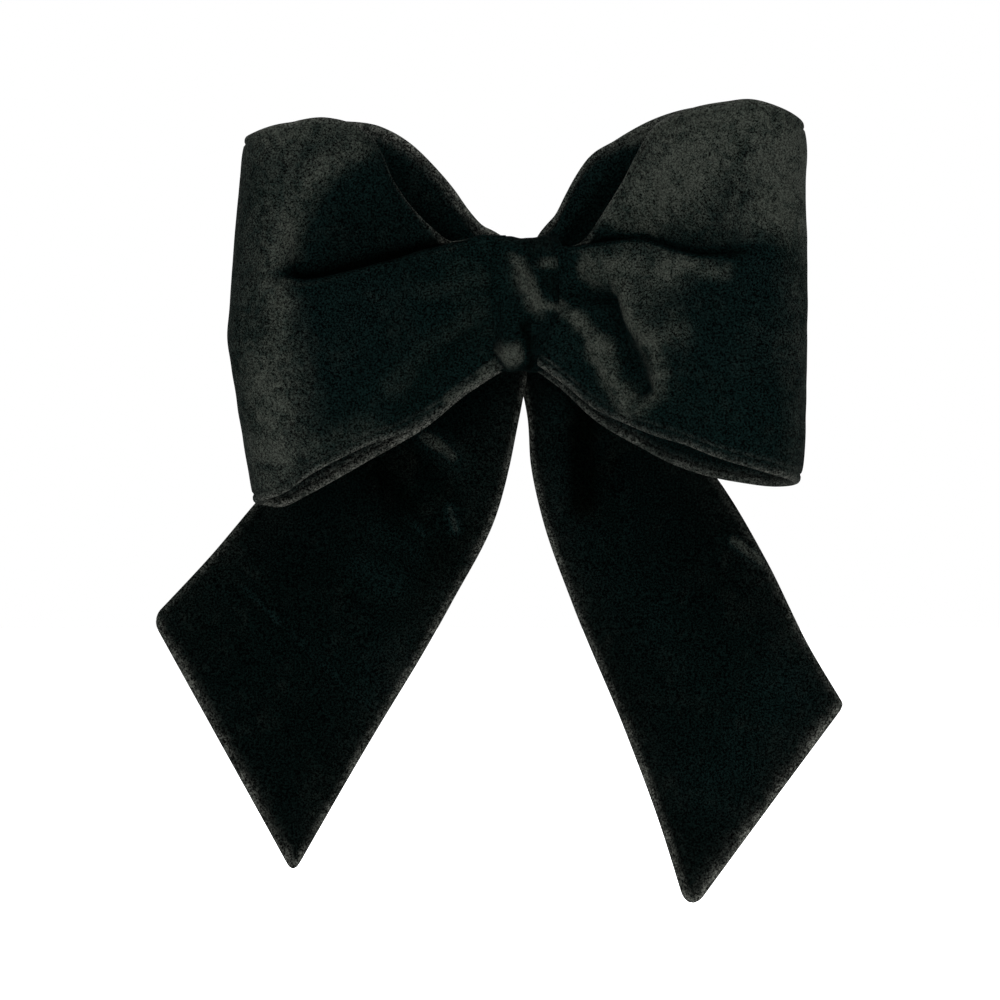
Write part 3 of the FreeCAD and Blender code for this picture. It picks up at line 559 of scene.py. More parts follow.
def build_loop(side, material):
    """One closed band of thick cloth, from the knot's front round the loop's end to the knot's back."""
    grid, edge, reach, behind = loop_grid(side)
    panel = (LOOP_ROWS // 4, 20)
    push = loop_wrinkles(side, grid, edge, reach, behind)
    painted_light, inner_painted_light = loop_painted_light(side, grid, edge, behind, push)
    grid = grid + surface_normals(grid, *panel) * push[:, :, None]
    offset = surface_normals(grid, *panel) * half_thickness(edge)[:, :, None]
    ring = there_and_back(grid + offset, grid - offset)
    around = ring.shape[1]
    faces = grid_faces(LOOP_ROWS, around, around=True)
    for base in (0, (LOOP_ROWS - 1) * around):
        for c in range(LOOP_COLUMNS - 1):
            quad = [base + c, base + c + 1, base + (around - c - 1) % around, base + (around - c) % around]
            faces.append(tuple(dict.fromkeys(quad)))
    front = (1 - behind)[:, None]
    low_edge = 1 - ease(0.3, 0.5, np.linspace(0, 1, LOOP_COLUMNS))[None, :]
    near_knot = 1 - 0.7 * front * (1 - low_edge) * (1 - ease(10, 30, np.abs(grid[:, :, 0])))
    # Wear and painted sheen along the sewn edges, outside and inside the loop.
    wear_and_sheen = near_knot * seam_wear_and_sheen(edge, 0.75, 1.0, 0.22 * front * low_edge)
    inner_wear_and_sheen = near_knot * seam_wear_and_sheen(edge, *LOOPS[side]["inner_rim"], 0)
    values = {"painted_light": there_and_back(painted_light, inner_painted_light), "wear_and_sheen": there_and_back(wear_and_sheen, inner_wear_and_sheen)}
    plies = [f"{side}_loop_{ply}" for ply in ("outer_velvet", "stiffener", "lining_velvet")]
    return make_piece(f"{side}_loop_band", ring.reshape(-1, 3), faces, values, material, plies)


# ---- tails

# Each tail's inner and outer edges are (x, z) points from the knot down. "corners" are the radii of its hem's
# inner and outer corners, "hem_wear_and_sheen" how much wear and painted sheen pale the hem's rim and the
# cloth beside it, and "bend" two places near its top.
LEFT_TAIL = {
    "inner": [
        (1.0, -10), (1.2, -17), (0.2, -22.8), (-1.2, -29.9), (-2.8, -37.9), (-6.1, -50), (-16.5, -70.2),
        (-22.2, -80.3), (-34.4, -100.5), (-53.8, -134),
    ],
    "outer": [(-8, -1), (-14, -5), (-24, -12), (-42, -27), (-58, -41.5), (-74.2, -60.2), (-87.1, -74)],
    "depth": -5.5,
    "corners": (2.8, 3.4),
    "hem_wear_and_sheen": (0.7, 0.04),
    "bend": ((-7.5, 0, -10.5), (-22, 0, -31)),
    "creases": (
        (0.7, [(-23, -31), (-15, -38)], 2.5),
        (-0.8, [(-25, -36), (-17, -45)], 3.5),
        (0.7, [(-34, -53), (-24, -60)], 2.5),
        (-0.7, [(-22, -62), (-14, -54)], 4),
        (-0.35, [(-72, -62), (-41, -92), (-34, -98)], 0.8),
    ),
    # Strokes of painted sheen, and of painted shade below 0.
    "brush": (
        (0.34, [(-23, -31), (-18, -34), (-16, -36)], 1.3),
        (0.08, [(-21, -32)], 4),
        (0.3, [(-27, -50), (-23, -54)], 0.8),
        (0.3, [(-17, -48), (-15.5, -53)], 1.3),
        (0.12, [(-38, -62), (-30, -66)], 3.5),
        (0.06, [(-34, -90), (-28, -84)], 9),
        (0.2, [(-66, -66), (-57, -75)], 0.5),
        (0.12, [(-54, -78), (-36, -95)], 0.5),
        (-0.4, [(-33, -40), (-27, -48)], 5),
    ),
}
RIGHT_TAIL = {
    "inner": [
        (-0.8, -10), (-0.6, -17), (0.7, -22.7), (1.3, -26), (2.2, -37.9), (4.8, -50), (11.9, -70.3),
        (24.6, -100.6), (32.2, -120.8), (39.5, -143.9),
    ],
    "outer": [
        (8, -1), (13, -5), (20, -12), (34, -26), (47, -42), (57.8, -60.2), (67.8, -80.4), (76.2, -94.6),
    ],
    "depth": -2.5,
    "corners": (5.6, 1.6),
    "hem_wear_and_sheen": (0.95, 0.2),
    "bend": ((6.5, 0, -11.5), (18.5, 0, -33)),
    "creases": (
        (-0.9, [(12, -30), (15, -48)], 3.4),
        (-0.4, [(20, -38), (22, -54)], 4),
        (0.5, [(6, -28), (9, -50)], 2),
        (0.8, [(48, -55), (56, -60)], 1.4),
    ),
    # Strokes of painted sheen, and of painted shade below 0.
    "brush": (
        (0.6, [(50, -55.5), (56.5, -60.5)], 0.9),
        (0.16, [(8, -24), (11, -34), (12, -44)], 3),
        (0.05, [(20, -52), (40, -88)], 9),
        (0.13, [(46, -112), (62, -92)], 10),
        (-0.5, [(15, -26), (14, -46)], 3),
    ),
}
TAILS = {"left": LEFT_TAIL, "right": RIGHT_TAIL}
TAIL_ROWS, TAIL_COLUMNS, OUTLINE_SAMPLES = 150, 84, 400
FULL_WIDTH = 24  # where a tail is narrower than this, its sewn edges are narrower in proportion
TAIL_THICKNESS = 1.1  # times the loops' thickness
TAIL_SHADE, SHEEN_LIFT = -0.6, 0.3  # painted shade over a tail away from its painted sheen, and the patch strength that lifts it fully


def tail_grid(side):
    """Mid-surface of a tail, each place's distance from its nearest sewn edge, and how much wear and painted
    sheen pale its pile.
    """
    shape = TAILS[side]
    inner, outer = along(shape["inner"], OUTLINE_SAMPLES), along(shape["outer"], OUTLINE_SAMPLES)
    length = 0.5 * sum(np.linalg.norm(np.diff(c, axis=0), axis=1).sum() for c in (inner, outer))
    steps = np.array(EDGE_STEPS)
    hem_steps = length - steps[::-1]
    downs = np.concatenate([np.linspace(0, hem_steps[0], TAIL_ROWS - len(steps) + 1)[:-1], hem_steps])
    rest = np.linspace(0, 1, TAIL_COLUMNS - 2 * len(steps) + 2)[1:-1]
    hem_rim, hem_glow = shape["hem_wear_and_sheen"]
    grid = np.zeros((TAIL_ROWS, TAIL_COLUMNS, 3))
    edge, wear_and_sheen = np.zeros((2, TAIL_ROWS, TAIL_COLUMNS))
    for r, down in enumerate(downs):
        share = down / length
        width = np.linalg.norm(on_curve(outer, share) - on_curve(inner, share))
        inset = steps * min(1, width / FULL_WIDTH)
        u = np.concatenate([inset, between(rest, inset[-1], width - inset[-1]), width - inset[::-1]])
        on_inner_side = u < width / 2
        from_side = np.minimum(u, width - u)
        from_hem = np.full(TAIL_COLUMNS, length - down)
        radius = np.where(on_inner_side, *shape["corners"])
        p, q = (np.clip(1 - e / radius, 0, 1) for e in (from_side, from_hem))
        round_p, round_q = p * np.sqrt(1 - q**2 / 2), q * np.sqrt(1 - p**2 / 2)
        corner = (p > 0) & (q > 0)
        moved_side = np.where(corner, radius * (1 - round_p), from_side)
        moved_hem = np.where(corner, radius * (1 - round_q), from_hem)
        across = (np.where(on_inner_side, moved_side, width - moved_side) / width)[:, None]
        place = np.clip(1 - moved_hem / length, 0, 1)
        grid[r][:, [0, 2]] = on_curve(inner, place) * (1 - across) + on_curve(outer, place) * across
        in_corner = radius * (1 - np.hypot(round_p, round_q))
        edge[r] = np.clip(np.where(corner, in_corner, np.minimum(from_side, from_hem)), 0, None)
        # Wear and painted sheen along the sides and the hem.
        side_rim = np.where(on_inner_side, 0.62, 0.32) * bell(np.minimum(from_side, edge[r]), 0, 1.3)
        side_wear_and_sheen = side_rim + 0.06 * np.exp(-from_side / 4)
        hem_wear_and_sheen = hem_rim * bell(from_hem, 0, 1.9) + hem_glow * np.exp(-from_hem / 3)
        wear_and_sheen[r] = np.clip(np.maximum(side_wear_and_sheen, hem_wear_and_sheen), 0, 1)
    return grid, edge, wear_and_sheen


def tail_depth(side, grid):
    """Depth of a tail's mid-surface: gathers at the knot, then slow waves and a curl towards the hem."""
    down = np.linspace(0, 1, TAIL_ROWS)[:, None]
    across = np.linspace(0, 1, TAIL_COLUMNS)[None, :]
    x, z = grid[:, :, 0], grid[:, :, 2]
    near = 1 - ease(18, 60, np.hypot(x, z))
    free = ease(45, 110, -z)
    gathers = 0.8 * near * np.sin(np.arctan2(x, -z + 6) * 9 + 0.6)
    wave = 2.4 * free * np.sin(down * 5.2 + 1.1 * SIDES[side] + across * 1.4)
    curl = -1.8 * free * (across - 0.5) ** 2 * 4
    return TAILS[side]["depth"] + gathers + wave + curl


def tail_wrinkles(side, grid, edge):
    """How far a tail's cloth is pushed out to the front: soft unevenness and a few creases."""
    sign = SIDES[side]
    push = 0.25 * cloth_noise(grid, 18, 11 + sign) + 0.08 * cloth_noise(grid, 6, 14 + sign)
    push += strokes(grid[:, :, 0], grid[:, :, 2], TAILS[side]["creases"])
    return push * ease(SMOOTH_EDGE, FREE_CLOTH, edge)


def tail_painted_light(side, grid, push):
    """Painted sheen on a tail: small creases, a faint line of an old fold, a few soft patches and wrinkles'
    crests; painted shade elsewhere.
    """
    patch = strokes(grid[:, :, 0], grid[:, :, 2], TAILS[side]["brush"])
    patch *= 1 + 0.4 * cloth_noise(grid, 5, 45)
    tail_shade = TAIL_SHADE * (1 - np.clip(patch / SHEEN_LIFT, 0, 1))
    return tail_shade + patch + 0.3 * np.clip(push, -0.8, 0.8)


def build_tail(side, material):
    """One closed strip of thick cloth from behind the knot down to its slanted hem."""
    grid, edge, wear_and_sheen = tail_grid(side)
    rows, columns = edge.shape
    push = tail_wrinkles(side, grid, edge)
    grid[:, :, 1] = tail_depth(side, grid) - push
    offset = surface_normals(grid) * half_thickness(edge)[:, :, None] * TAIL_THICKNESS
    count = rows * columns
    faces = grid_faces(rows, columns) + [f[::-1] for f in grid_faces(rows, columns, first=count)]
    numbers = np.arange(count).reshape(rows, columns)
    sides = [numbers[:, 0], numbers[-1, 1:], numbers[-2::-1, -1], numbers[0, -2:0:-1]]
    rim = np.concatenate(sides).tolist()
    for a, b in zip(rim, rim[1:] + rim[:1]):
        faces.append((a, b, b + count, a + count))
    painted_light = tail_painted_light(side, grid, push)
    # The back: soft patches of painted sheen over painted shade, darker behind the front's crests and paler
    # behind its hollows.
    back_painted_light = 0.6 * ease(0.05, 0.6, cloth_noise(grid, 22, 51)) - 0.2 - 0.4 * np.clip(push, -0.9, 0.8)
    values = {"painted_light": np.concatenate([painted_light, back_painted_light]), "wear_and_sheen": np.concatenate([wear_and_sheen, wear_and_sheen])}
    vertices = np.concatenate([grid + offset, grid - offset]).reshape(-1, 3)
    plies = [f"{side}_tail_{ply}" for ply in ("front_velvet", "back_velvet")]
    return make_piece(f"{side}_tail_strip", vertices, faces, values, material, plies)


# ---- knot

KNOT_FRONT, KNOT_BACK, KNOT_TOP, KNOT_BOTTOM, KNOT_CORNER = -22.3, 2.6, 15.3, -15.8, 5.0
KNOT_HALF_WIDTH = 8.6  # everywhere but at the front
KNOT_CLOTH = 0.8
KNOT_AROUND, KNOT_ACROSS = 280, 110
KNOT_FOLDS = (
    (2.0, [(-3.4, -11.2), (-1.8, -11.4)], 2.7),
    (1.1, [(-1.4, 10), (0.8, 4), (3.4, -1), (9.6, -2.8)], 1.7),
    (-0.9, [(3, 10), (5.4, 5), (9, 2)], 1.6),
)
# Strokes of painted sheen on the wrap's front folds, and of painted shade below 0, such as along its groove.
KNOT_SHEEN_AND_SHADE = (
    (0.85, [(-1.2, 9.5), (0.6, 5), (1.8, 2.6), (3.4, -1)], 2.0),
    (0.75, [(3.6, 0.4), (6, -0.4), (10.4, -2.4)], 1.0),
    (0.6, [(4.6, 9.6), (7.4, 9.3)], 1.4),
    (1.7, [(-3.2, -11.8), (-1.4, -12)], 1.9),
    (0.5, [(-5, -12), (-4, -13)], 1.6),
    (-0.9, [(1.6, -16), (1.6, -9), (0.8, -5)], 1.3),
    (-0.5, [(3, 15)], 4.5),
    (-0.5, [(5.4, 6), (8, 3)], 1.6),
)


def knot_path():
    """The wrap's outer surface in side view, from the front's top corner backwards, and the way out of it."""
    front, back = KNOT_FRONT + KNOT_CORNER, KNOT_BACK - KNOT_CORNER
    high, low = KNOT_TOP - KNOT_CORNER, KNOT_BOTTOM + KNOT_CORNER
    steps = []
    for quarter, (y, z) in enumerate([(front, high), (back, high), (back, low), (front, low)]):
        for turn in np.linspace(0, math.pi / 2, 30) + quarter * math.pi / 2:
            steps.append((y - KNOT_CORNER * math.cos(turn), z + KNOT_CORNER * math.sin(turn)))
    steps.append(steps[0])
    loop = even(np.array(steps), np.linspace(0, 1, KNOT_AROUND + 1))[:-1]
    run = np.roll(loop, -1, 0) - np.roll(loop, 1, 0)
    run /= np.linalg.norm(run, axis=1, keepdims=True)
    return loop, np.stack([0 * run[:, 0], -run[:, 1], run[:, 0]], 1)


def knot_tightness(y, z):
    """How far the wrap is drawn in at the back, above and below the base plate that it goes round."""
    return 1.25 * ease(5.2, 8.6, np.abs(z)) * ease(KNOT_BACK - 4, KNOT_BACK - 1, y)


def knot_folds(grid, front, edge):
    """How far the wrap is pushed out: fine folds all round, and the tucked corner and long folds in front."""
    x, z = grid[:, :, 0], grid[:, :, 2]
    lean = 0.10 * z
    folds = 0.5 * np.sin((x + lean) * 0.95 + 0.6) + 0.3 * np.sin((x - lean) * 1.7 + 1.9)
    push = folds * (0.35 + 0.65 * front) * ease(0, 3, edge) * (1 - 0.65 * ease(8, 14, np.abs(z)))
    push += 0.3 * cloth_noise(grid, 5, 21) + 0.12 * cloth_noise(grid, 2.2, 22)
    groove = (0.4 + 0.9 * ease(-12, -9, z)) * stroke(x, z, [(1.6, -16), (1.4, -9), (0.2, -3)], 1.5)
    push += front * (strokes(x, z, KNOT_FOLDS) - groove)
    return push * ease(0, 1.2, edge)


def knot_painted_light(x, z, grid, front):
    """Painted sheen and painted shade on the wrap's front."""
    x = x + 0.8 * cloth_noise(grid, 3, 25)
    z = z + 0.8 * cloth_noise(grid, 3, 27)
    return np.clip(strokes(x, z, KNOT_SHEEN_AND_SHADE), -1, 1.5) * front


def build_knot(material):
    """A soft folded wrap whose front is wide at the top and narrow at the bottom, with a corner tucked in."""
    loop, outward = knot_path()
    y, z = loop[:, :1], loop[:, 1:]
    front = 1 - ease(KNOT_FRONT + 3, KNOT_FRONT + 10, y)
    wavy = front * np.sin(z * 0.42 + 1) * 0.5
    left = wavy + between(front, KNOT_HALF_WIDTH, through([(-16, 5.6), (-8, 6.9), (4, 7.8), (15, 8.6)], z))
    right_front = through([(-16, 3.8), (-10, 5.2), (-3, 9.6), (4, 10.4), (15, 9.2)], z)
    right = wavy + between(front, KNOT_HALF_WIDTH, right_front)
    t = np.linspace(-1, 1, KNOT_ACROSS)[None, :]
    soft = np.sign(t) * (1 - (1 - np.abs(t)) ** 1.5)
    half = (left + right) / 2
    x = (right - left) / 2 + half * soft
    edge = half * (1 - np.abs(soft))
    grid = np.stack([x, y + 0 * x, z + 0 * x], 2)
    push = knot_folds(grid, front, edge)
    drawn_in = 2.6 * front * (1 - ease(0, 0.56 * half, edge)) + knot_tightness(y, z)
    body = dome(edge, 1.5)
    saddle = 1.2 * (1 - 0.85 * ease(-16, -8, y))
    grid[:, :, 2] += ease(8, KNOT_TOP, z) * saddle * (1 - bell(x, 0.7, 5))
    painted_light = knot_painted_light(x, z, grid, front)
    outer_shift = push - drawn_in + KNOT_CLOTH * (body - 1)
    inner_shift = np.minimum(push, 0) - drawn_in - KNOT_CLOTH * (1 + body)
    outer, inner = (grid + outward[:, None, :] * shift[:, :, None] for shift in (outer_shift, inner_shift))
    ring = there_and_back(outer, inner)
    faces = grid_faces(KNOT_AROUND, ring.shape[1], around=True, closed=True)
    values = {"painted_light": there_and_back(painted_light, 0 * painted_light), "wear_and_sheen": np.zeros(ring.shape[:2])}
    return make_piece("knot_band", ring.reshape(-1, 3), faces, values, material, ["knot_wrap"])


def build_waist(material):
    """Pinched pleats inside the knot, under the cinching thread, and the tail strip's fold behind them."""
    rows, columns, half_width, squareness, drop = 40, 96, 8.4, 0.4, 0.25
    x = np.linspace(-half_width, half_width, rows)[:, None]
    a = np.linspace(0, 2 * math.pi, columns, endpoint=False)[None, :]
    crimp = 1 - 0.015 * (1 + np.sin(a * 14))
    across, up = (np.sign(turn) * np.abs(turn) ** squareness for turn in (np.sin(a), np.cos(a)))
    faces = grid_faces(rows, columns, around=True) + end_caps(rows, columns)
    values = {key: np.zeros((rows, columns)) for key in ("painted_light", "wear_and_sheen")}
    pieces = []
    for name, centre, deep, tall, pinch, node in (
        ("waist_pleats", -13.5, 5.1, 13.8, 0.06, "loop_waist"),
        ("tail_fold_pleats", -4.1, 4.05, 14.1, 0.02, "tail_fold"),
    ):
        size = (1 - pinch * bell(x, 0, 2.2)) * crimp
        grid = np.stack([x + 0 * a, centre + deep * size * across, tall * size * up - drop], 2)
        pieces.append(make_piece(name, grid.reshape(-1, 3), faces, values, material, [node]))
    return pieces


def build_stitches(material):
    """Five small thread bridges across the wrap's seam at the back."""
    count, steps, sides, radius, end_gap = 5, 14, 8, 0.28, 0.3
    rise, above_cloth, dip = 0.35, 0.25, 0.9
    low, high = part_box("knot_stitches")
    reach = high.x / MM
    vertices, faces = [], []
    for height in np.linspace(low.z / MM + end_gap, high.z / MM - end_gap, count):
        faces += grid_faces(steps, sides, len(vertices), around=True) + end_caps(steps, sides, len(vertices))
        back = KNOT_BACK + above_cloth - knot_tightness(KNOT_BACK, height)
        for s in np.linspace(-1, 1, steps):
            middle = np.array([s * reach, back - dip * s**4, height + rise * s])
            for a in np.linspace(0, 2 * math.pi, sides, endpoint=False):
                vertices.append(middle + radius * np.array([0, math.cos(a), math.sin(a)]))
    return make_piece("knot_thread_bridges", vertices, faces, {}, material, ["knot_stitches"])


# ---- materials

# BLACK_PILE is the velvet's own colour. The others are painted shade, painted sheen, and wear with painted
# sheen.
BLACK_PILE, PAINTED_SHADE_PILE = (0.0007, 0.0019, 0.0018), (0.0001, 0.0003, 0.0002)
PAINTED_SHEEN_PILE, WORN_AND_SHEEN_PILE = (0.0132, 0.0152, 0.0126), (0.030, 0.0312, 0.0275)
LINT = (0.07, 0.068, 0.064)
SHEEN_TINT = (0.80, 0.92, 0.88)
CLIP_COLOUR, PIN_COLOUR = (0.41, 0.398, 0.378), (0.62, 0.61, 0.59)
CLIP_ROUGHNESS, PIN_ROUGHNESS = 0.28, 0.16
THREAD_COLOURS = (0.010, 0.010, 0.011), (0.035, 0.035, 0.036)


class Graph:
    """Short ways to add shader nodes to one material, or to the world."""

    def __init__(self, owner):
        self.nodes = owner.node_tree.nodes
        self.links = owner.node_tree.links
        self.coordinates = self.shader = None

    def wire(self, source, target):
        """Feeds a socket from another socket, a number or a colour."""
        if isinstance(source, (int, float)):
            target.default_value = source
        elif isinstance(source, tuple):
            target.default_value = (*source, 1)
        else:
            self.links.new(source, target)

    def feed(self, **sources):
        """Sets or links inputs of the material's own shader, named with _ for each space."""
        for name, source in sources.items():
            self.wire(source, self.shader.inputs[name.replace("_", " ")])

    def add(self, kind, **sources):
        """A new node, with some of its inputs set or linked in the same way."""
        node = self.nodes.new("ShaderNode" + kind)
        for name, source in sources.items():
            self.wire(source, node.inputs[name.replace("_", " ")])
        return node

    def place(self):
        """The place on the object, in metres."""
        if self.coordinates is None:
            self.coordinates = self.add("TexCoord").outputs["Object"]
        return self.coordinates

    def noise(self, scale, detail, roughness=0.5, distortion=0.0, vector=None):
        numbers = {"Scale": scale, "Detail": detail, "Roughness": roughness, "Distortion": distortion}
        return self.add("TexNoise", Vector=vector or self.place(), **numbers).outputs["Fac"]

    def attribute(self, name):
        node = self.add("Attribute")
        node.attribute_name = name
        return node.outputs["Fac"]

    def math(self, kind, a, b=0.0, clamp=False):
        node = self.add("Math")
        node.operation = kind
        node.use_clamp = clamp
        self.wire(a, node.inputs[0])
        self.wire(b, node.inputs[1])
        return node.outputs[0]

    def spread(self, value, low, high, to_low=0.0, to_high=1.0, kind="SMOOTHSTEP"):
        """Turns low to high into to_low to to_high, and stays level beyond them."""
        node = self.add("MapRange", Value=value, From_Min=low, From_Max=high, To_Min=to_low, To_Max=to_high)
        node.interpolation_type = kind
        return node.outputs["Result"]

    def mix(self, factor, a, b, kind="RGBA"):
        """From a to b by a factor: colours, or numbers where kind is FLOAT."""
        node = self.add("Mix")
        node.data_type = kind
        first, result = {"FLOAT": (2, 0), "RGBA": (6, 2)}[kind]
        self.wire(factor, node.inputs[0])
        self.wire(a, node.inputs[first])
        self.wire(b, node.inputs[first + 1])
        return node.outputs[result]

    def bump(self, height, distance, strength, normal=None):
        node = self.add("Bump", Height=height, Distance=distance, Strength=strength)
        if normal is not None:
            self.wire(normal, node.inputs["Normal"])
        return node.outputs["Normal"]


def new_material(name):
    """A material with one shader, and a graph for its nodes."""
    material = bpy.data.materials.new(name)
    material.use_nodes = True
    g = Graph(material)
    g.nodes.clear()
    g.shader = g.add("BsdfPrincipled")
    g.add("OutputMaterial", Surface=g.shader.outputs[0])
    return material, g


def lint_specks(g):
    """A few pale fibre specks, one here and there."""
    cells_in_a_metre, radius, share = 71, 0.016, 0.14
    cells = g.add("TexVoronoi", Vector=g.place(), Scale=cells_in_a_metre)
    close = g.math("LESS_THAN", cells.outputs["Distance"], radius)
    chosen = g.add("SeparateColor", Color=cells.outputs["Color"])
    return g.math("MULTIPLY", close, g.math("GREATER_THAN", chosen.outputs[0], 1 - share))


def velvet(name):
    """Black crushed velvet: a deep pile with painted sheen and painted shade, and wear with painted sheen
    along its edges.
    """
    material, g = new_material(name)
    patches = g.noise(95, 3, 0.55, 0.8)
    crush = g.noise(420, 4, 0.65, 0.6)
    pile = g.noise(2300, 3, 0.8)
    painted_light = g.attribute("painted_light")

    # Painted sheen where the attribute is above 0, in broken patches, plus faint random patches, and painted
    # shade, deep black, where it is below 0.
    broken = g.math("ADD", g.spread(crush, 0.32, 0.7, 0.4, 1.3), g.spread(patches, 0.3, 0.7, -0.2, 0.2))
    painted_sheen = g.math("MULTIPLY", g.math("MAXIMUM", painted_light, 0.0), broken)
    faint = g.math("MULTIPLY", g.spread(patches, 0.48, 0.72), g.spread(crush, 0.35, 0.7, 0.0, 0.07))
    pale = g.math("ADD", painted_sheen, faint, clamp=True)
    deep = g.math("MULTIPLY", g.math("MINIMUM", painted_light, 0.0), -1.0, clamp=True)
    colour = g.mix(pale, g.mix(deep, BLACK_PILE, PAINTED_SHADE_PILE), PAINTED_SHEEN_PILE)

    # Worn edges with painted sheen, broken up unevenly.
    fine_rub = g.spread(g.noise(700, 3, 0.6), 0.34, 0.62, 0.3, 1.1)
    broad_rub = g.spread(g.noise(110, 2), 0.3, 0.65, 0.5, 1.1)
    wear_and_sheen = g.math("MULTIPLY", g.attribute("wear_and_sheen"), g.math("MULTIPLY", fine_rub, broad_rub), clamp=True)
    colour = g.mix(wear_and_sheen, colour, WORN_AND_SHEEN_PILE)

    # The pile's grain, weaker under the painted sheen.
    calm = g.math("SUBTRACT", 1.0, g.math("MULTIPLY", pale, 0.52))
    grain = g.math("MULTIPLY", g.spread(pile, 0.36, 0.66, -1.4, 2.2), calm)
    speckled = g.add("VectorMath")
    speckled.operation = "SCALE"
    g.wire(colour, speckled.inputs[0])
    g.wire(g.math("MAXIMUM", g.math("ADD", grain, 1.0), 0.0), speckled.inputs["Scale"])

    g.feed(Base_Color=g.mix(lint_specks(g), speckled.outputs[0], LINT))
    g.feed(Roughness=g.spread(crush, 0.2, 0.8, 0.98, 0.8))
    g.feed(Specular_IOR_Level=g.math("ADD", g.math("MULTIPLY", pale, 0.02), 0.003))
    g.feed(Sheen_Weight=g.math("ADD", g.math("MULTIPLY", pale, 0.012), 0.0016))
    g.feed(Sheen_Roughness=0.3, Sheen_Tint=SHEEN_TINT)
    g.feed(Normal=g.bump(pile, 0.0003, 0.7, g.bump(crush, 0.0007, 0.5)))
    return material


def plated_steel(name, colour, roughness):
    """Plated metal with fine streaks along x, and a duller cloud here and there."""
    material, g = new_material(name)
    stretched = g.add("Mapping", Vector=g.place())
    stretched.inputs["Scale"].default_value = (60, 900, 900)
    brush = g.noise(4, 3, 0.6, vector=stretched.outputs[0])
    cloud = g.noise(180, 3, 0.6)
    dull, streak = (tuple(c * share for c in colour) for share in (0.8, 0.6))
    clouded = g.mix(g.spread(cloud, 0.35, 0.7), colour, dull)
    g.feed(Base_Color=g.mix(g.spread(brush, 0.4, 0.62, 0.0, 0.6), clouded, streak), Metallic=1.0)
    g.feed(Roughness=g.spread(brush, 0.2, 0.8, roughness - 0.06, roughness + 0.14))
    g.feed(Normal=g.bump(brush, 0.00004, 0.4))
    return material


def twisted_thread(name):
    """Black thread with slanting ridges of twist."""
    material, g = new_material(name)
    twist = g.add("TexWave", Vector=g.place(), Scale=900, Distortion=1.5)
    twist.bands_direction = "DIAGONAL"
    g.feed(Base_Color=g.mix(twist.outputs["Fac"], *THREAD_COLOURS), Roughness=0.6, Specular_IOR_Level=0.3)
    g.feed(Normal=g.bump(twist.outputs["Fac"], 0.0001, 0.8))
    return material


def floor_paint():
    """A white studio floor. Shiny metal sees less of its glow than the cloth does."""
    material, g = new_material("pale_floor")
    glow, hidden_share = 0.9, 0.8
    mirrored = g.add("LightPath").outputs["Is Glossy Ray"]
    seen = g.math("SUBTRACT", 1.0, g.math("MULTIPLY", mirrored, hidden_share))
    g.feed(Base_Color=(0.95, 0.95, 0.95), Roughness=0.9, Specular_IOR_Level=0.1)
    g.feed(Emission_Color=(1, 1, 1), Emission_Strength=g.math("MULTIPLY", seen, glow))
    return material


# ---- stage

FLOOR_GAP, FLOOR_SIZE = 25, 4000
LAMPS = (  # name, place, width and watts
    ("key", (350, -900, 700), 700, 14),
    ("fill", (-800, -700, 150), 600, 5),
    ("back", (-200, 900, 700), 700, 8),
)
LAMP_TARGET = (0, 0, -40)
CAMERA_PLACE, CAMERA_DISTANCE, VIEW_WIDTH, SENSOR = (-5.1, -1418, -46.0), 1400, 233.6, 36


def build_world():
    """Even white light. Shiny metal mirrors soft bright bands in a dim room, so that its curves show."""
    world = bpy.data.worlds.new("studio")
    bpy.context.scene.world = world
    world.use_nodes = True
    g = Graph(world)
    bands, room_light, backdrop = 7.0, 0.55, 1.0
    split = g.add("SeparateXYZ", Vector=g.add("TexCoord").outputs["Generated"])
    wave = g.math("SINE", g.math("MULTIPLY", split.outputs["Z"], bands))
    mirrored = g.spread(wave, -0.6, 0.9, 0.12, 0.95, kind="LINEAR")
    path = g.add("LightPath").outputs
    light = g.mix(path["Is Glossy Ray"], room_light, mirrored, kind="FLOAT")
    background = g.nodes["Background"].inputs
    g.wire((1, 1, 1), background["Color"])
    g.wire(g.mix(path["Is Camera Ray"], light, backdrop, kind="FLOAT"), background["Strength"])


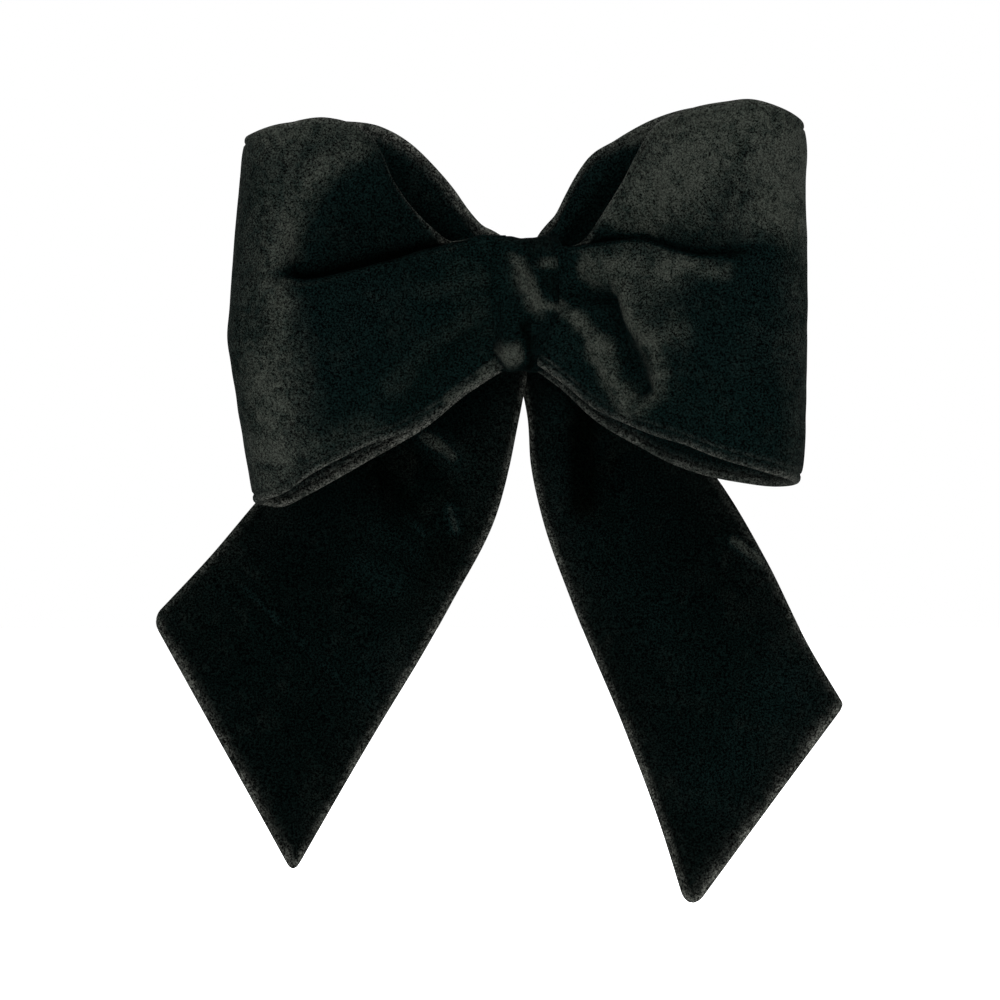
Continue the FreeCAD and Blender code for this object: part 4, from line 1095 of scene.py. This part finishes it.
def build_stage():
    """A pale floor, big soft lights and a long-lens camera square to the bow's front."""
    scene = bpy.context.scene
    scene.view_settings.view_transform = "Standard"
    floor_z = CAD_LOW.z / MM - FLOOR_GAP
    corners = [(x * FLOOR_SIZE, y * FLOOR_SIZE, floor_z) for x, y in ((-1, -1), (1, -1), (1, 1), (-1, 1))]
    make_mesh("floor", corners, [(0, 1, 2, 3)], {}, floor_paint())
    build_world()

    for name, place, width, watts in LAMPS:
        lamp = bpy.data.lights.new(name, "AREA")
        lamp.size = width * MM
        lamp.energy = watts
        holder = bpy.data.objects.new(name, lamp)
        holder.location = Vector(place) * MM
        aim = Vector(LAMP_TARGET) * MM - holder.location
        holder.rotation_euler = aim.to_track_quat("-Z", "Y").to_euler()
        scene.collection.objects.link(holder)

    camera = bpy.data.cameras.new("camera")
    camera.sensor_width = SENSOR
    camera.lens = SENSOR * CAMERA_DISTANCE / VIEW_WIDTH
    camera.clip_start, camera.clip_end = 0.05, 20
    holder = bpy.data.objects.new("camera", camera)
    holder.location = Vector(CAMERA_PLACE) * MM
    holder.rotation_euler = (math.pi / 2, 0, 0)
    scene.collection.objects.link(holder)
    scene.camera = holder


# ---- assembly

black_velvet = velvet("black_crushed_velvet")
thread = twisted_thread("black_thread")
clip_steel = plated_steel("nickel_plated_steel", CLIP_COLOUR, CLIP_ROUGHNESS)
pin_steel = plated_steel("bright_pin_steel", PIN_COLOUR, PIN_ROUGHNESS)

for nodes, material in (
    (("clip_base", "clip_arm", "tension_bar"), clip_steel),
    (("catch_foot", "catch_prong_upper", "catch_prong_lower"), clip_steel),
    (("hinge_pin", "catch_rivet"), pin_steel),
    (("cinch_thread",), thread),
):
    for node in nodes:
        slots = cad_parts[node].data.materials
        slots.clear()
        slots.append(material)

for piece in [build_knot(black_velvet), *build_waist(black_velvet)]:
    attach(piece, "knot_and_base")
stitches = build_stitches(thread)
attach(stitches, "knot_and_base")

for side, sign in SIDES.items():
    loop = build_loop(side, black_velvet)
    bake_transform(loop)
    tail = build_tail(side, black_velvet)
    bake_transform(tail)

build_stage()
